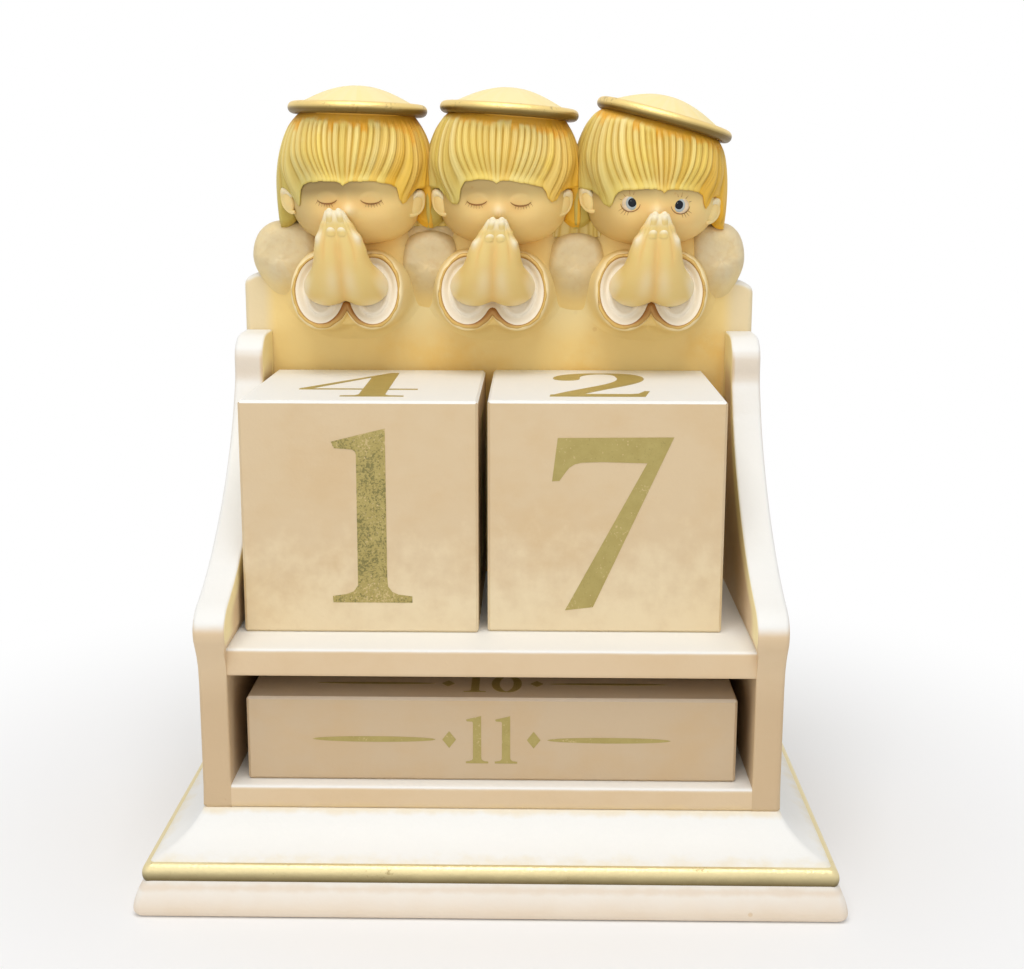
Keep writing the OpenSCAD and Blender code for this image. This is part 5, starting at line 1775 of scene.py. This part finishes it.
class CALENDAR_OT_halos(bpy.types.Operator):
    """Gilds the halos"""
    bl_idname = "calendar.halos"
    bl_label = "Halos"

    def execute(self, context):
        gilt = gold_material("halo_gilding", 0.6, colours().gold, colours().halo_painted_shade)
        for place in PLACES:
            paint_node("halo_" + place, gilt)
        return {"FINISHED"}


class CALENDAR_OT_robes(bpy.types.Operator):
    """Models the robes, sleeves and the ochre lines round the cuffs"""
    bl_idname = "calendar.robes"
    bl_label = "Robes and cuffs"

    def execute(self, context):
        cloth = robe_material()
        line = lined("cuff_ochre", colours().ochre, colours().ochre_dark)
        for place in PLACES:
            figure = Figure(place)
            sleeves, robe = sleeve_shell(figure), robe_shell(figure)
            piece("sleeves_" + place, [sleeves[0], robe[0]], cloth,
                  stands_for=["robe_" + place],
                  values={"inside": [sleeves[1], robe[1]], "shade": [sleeves[2], robe[2]]})
            shell, dark = cuff_line(figure)
            piece("cuff_line_" + place, [shell], line, stands_for=["cuff_trim_" + place],
                  values={"shade": [dark]})
        return {"FINISHED"}


class CALENDAR_OT_hands(bpy.types.Operator):
    """Models the praying hands"""
    bl_idname = "calendar.hands"
    bl_label = "Hands"

    def execute(self, context):
        skin = skin_material("hand_paint", colours().hands)
        for place in PLACES:
            figure = Figure(place)
            palms, palm_crease_shade, palm_highlight = palms_shell(figure)
            fingers, blush, pale = finger_shells(figure)
            piece("praying_hands_" + place, [palms] + fingers, skin,
                  stands_for=["hands_" + place],
                  values={"blush": [palm_crease_shade] + blush, "pale": [palm_highlight] + pale})
        return {"FINISHED"}


WINGS = ("wing_outer_left", "wing_inner_left", "wing_middle_left", "wing_middle_right", "wing_inner_right",
         "wing_outer_right")


class CALENDAR_OT_wings(bpy.types.Operator):
    """Models the six wings with their dabbed surface"""
    bl_idname = "calendar.wings"
    bl_label = "Wings"

    def execute(self, context):
        dabbed = stippled("wing_paint", colours().white)
        for node in WINGS:
            shell, shade = wing_shell(node)
            piece("dabbed_" + node, [shell], dabbed, stands_for=[node],
                  values={"shade": [shade]})
        return {"FINISHED"}


def seen_directly(tree):
    """1 for what the camera sees, also in a reflection or through glass, and 0 for light on the part."""
    rays = add(tree, "LightPath").outputs
    seen = math_node(tree, "MAXIMUM", rays["Is Camera Ray"], rays["Is Glossy Ray"])
    return math_node(tree, "MAXIMUM", seen, rays["Is Transmission Ray"])


class CALENDAR_OT_stage(bpy.types.Operator):
    """Sets the floor, the backdrop, the lamps and the camera"""
    bl_idname = "calendar.stage"
    bl_label = "Stage"

    def execute(self, context):
        self.floor()
        self.world()
        self.lamps()
        self.camera()
        context.scene.view_settings.view_transform = "Standard"
        return {"FINISHED"}

    def floor(self):
        """Pale floor that goes over into the plain white backdrop with distance."""
        half = 3.0
        square = [(x * half, y * half, 0) for x, y in ((-1, -1), (1, -1), (1, 1), (-1, 1))]
        mesh = bpy.data.meshes.new("floor")
        mesh.from_pydata(square, [], [(0, 1, 2, 3)])
        material, tree, shader = new_material("floor_white")
        fill(tree, shader, {"Base Color": (0.90, 0.91, 0.93, 1), "Roughness": 0.9})
        away = add(tree, "VectorMath", {0: here(tree)}, operation="LENGTH").outputs["Value"]
        glow = add(tree, "Emission", {"Color": (1, 1, 1, 1), "Strength": 1.0}).outputs[0]
        share = times(tree, seen_directly(tree), ramped(tree, away, 0.05, 0.19))
        both = add(tree, "MixShader", {0: share, 1: shader.outputs[0], 2: glow})
        tree.links.new(both.outputs[0], tree.nodes["Material Output"].inputs["Surface"])
        mesh.materials.append(material)
        floor = bpy.data.objects.new("floor", mesh)
        bpy.context.scene.collection.objects.link(floor)

    def world(self):
        world = bpy.data.worlds.new("studio")
        bpy.context.scene.world = world
        world.use_nodes = True
        tree = world.node_tree
        background = tree.nodes["Background"]
        background.inputs["Color"].default_value = (1, 1, 1, 1)
        strength = add(tree, "MapRange", {0: seen_directly(tree), 3: 0.5, 4: 1.0}).outputs[0]
        tree.links.new(strength, background.inputs["Strength"])

    def lamps(self):
        self.lamp("top_softbox", (-0.02, -0.28, 0.71), (0.0, 0.0, 0.08), 0.5, 3.0, (1.0, 0.97, 0.93))
        self.lamp("front_fill", (-0.20, -0.75, 0.24), (0.0, 0.0, 0.09), 0.6, 0.9, (1.0, 0.95, 0.86))

    def lamp(self, name, where, target, size, watts, tint):
        data = bpy.data.lights.new(name, "AREA")
        data.size = size
        data.energy = watts
        data.color = tint
        lamp = bpy.data.objects.new(name, data)
        way = Vector(target) - Vector(where)
        lamp.location = where
        lamp.rotation_euler = way.to_track_quat("-Z", "Y").to_euler()
        bpy.context.scene.collection.objects.link(lamp)

    def camera(self):
        """The photograph's view: a little above the shelf, 30 cm away, looking slightly down."""
        yaw, pitch, roll = -0.015, 0.206, -0.002
        forward = Vector((math.sin(yaw) * math.cos(pitch), math.cos(yaw) * math.cos(pitch), -math.sin(pitch)))
        right = Vector((math.cos(yaw), -math.sin(yaw), 0))
        down = forward.cross(right)
        tilted_right = math.cos(roll) * right + math.sin(roll) * down
        tilted_down = math.cos(roll) * down - math.sin(roll) * right
        data = bpy.data.cameras.new("camera")
        data.sensor_width = 36.0
        data.lens = 52.734
        data.clip_start = 0.01
        camera = bpy.data.objects.new("camera", data)
        axes = Matrix((tilted_right, -tilted_down, -forward)).transposed()
        camera.matrix_world = Matrix.Translation((7.856 * MM, -297.77 * MM, 135.52 * MM)) @ axes.to_4x4()
        bpy.context.scene.collection.objects.link(camera)
        bpy.context.scene.camera = camera


OPERATORS = (CALENDAR_OT_stand, CALENDAR_OT_blocks, CALENDAR_OT_heads, CALENDAR_OT_hair, CALENDAR_OT_halos,
             CALENDAR_OT_robes, CALENDAR_OT_hands, CALENDAR_OT_wings, CALENDAR_OT_stage)


class CALENDAR_PT_panel(bpy.types.Panel):
    """Lists the calendar's operators in the sidebar"""
    bl_idname = "CALENDAR_PT_panel"
    bl_label = "Cherub Calendar"
    bl_space_type = "VIEW_3D"
    bl_region_type = "UI"
    bl_category = "Calendar"

    def draw(self, context):
        for operator in OPERATORS:
            self.layout.operator(operator.bl_idname)


CLASSES = (CalendarSizes, CalendarColours, *OPERATORS, CALENDAR_PT_panel)


def register():
    for made in CLASSES:
        bpy.utils.register_class(made)
    bpy.types.Scene.calendar_sizes = bpy.props.PointerProperty(type=CalendarSizes)
    bpy.types.Scene.calendar_colours = bpy.props.PointerProperty(type=CalendarColours)


def unregister():
    del bpy.types.Scene.calendar_colours
    del bpy.types.Scene.calendar_sizes
    for made in reversed(CLASSES):
        bpy.utils.unregister_class(made)


def main():
    register()
    bpy.ops.calendar.stage()
    bpy.ops.calendar.stand()
    bpy.ops.calendar.blocks()
    bpy.ops.calendar.heads()
    bpy.ops.calendar.hair()
    bpy.ops.calendar.halos()
    bpy.ops.calendar.robes()
    bpy.ops.calendar.hands()
    bpy.ops.calendar.wings()


if __name__ == "__main__":
    main()
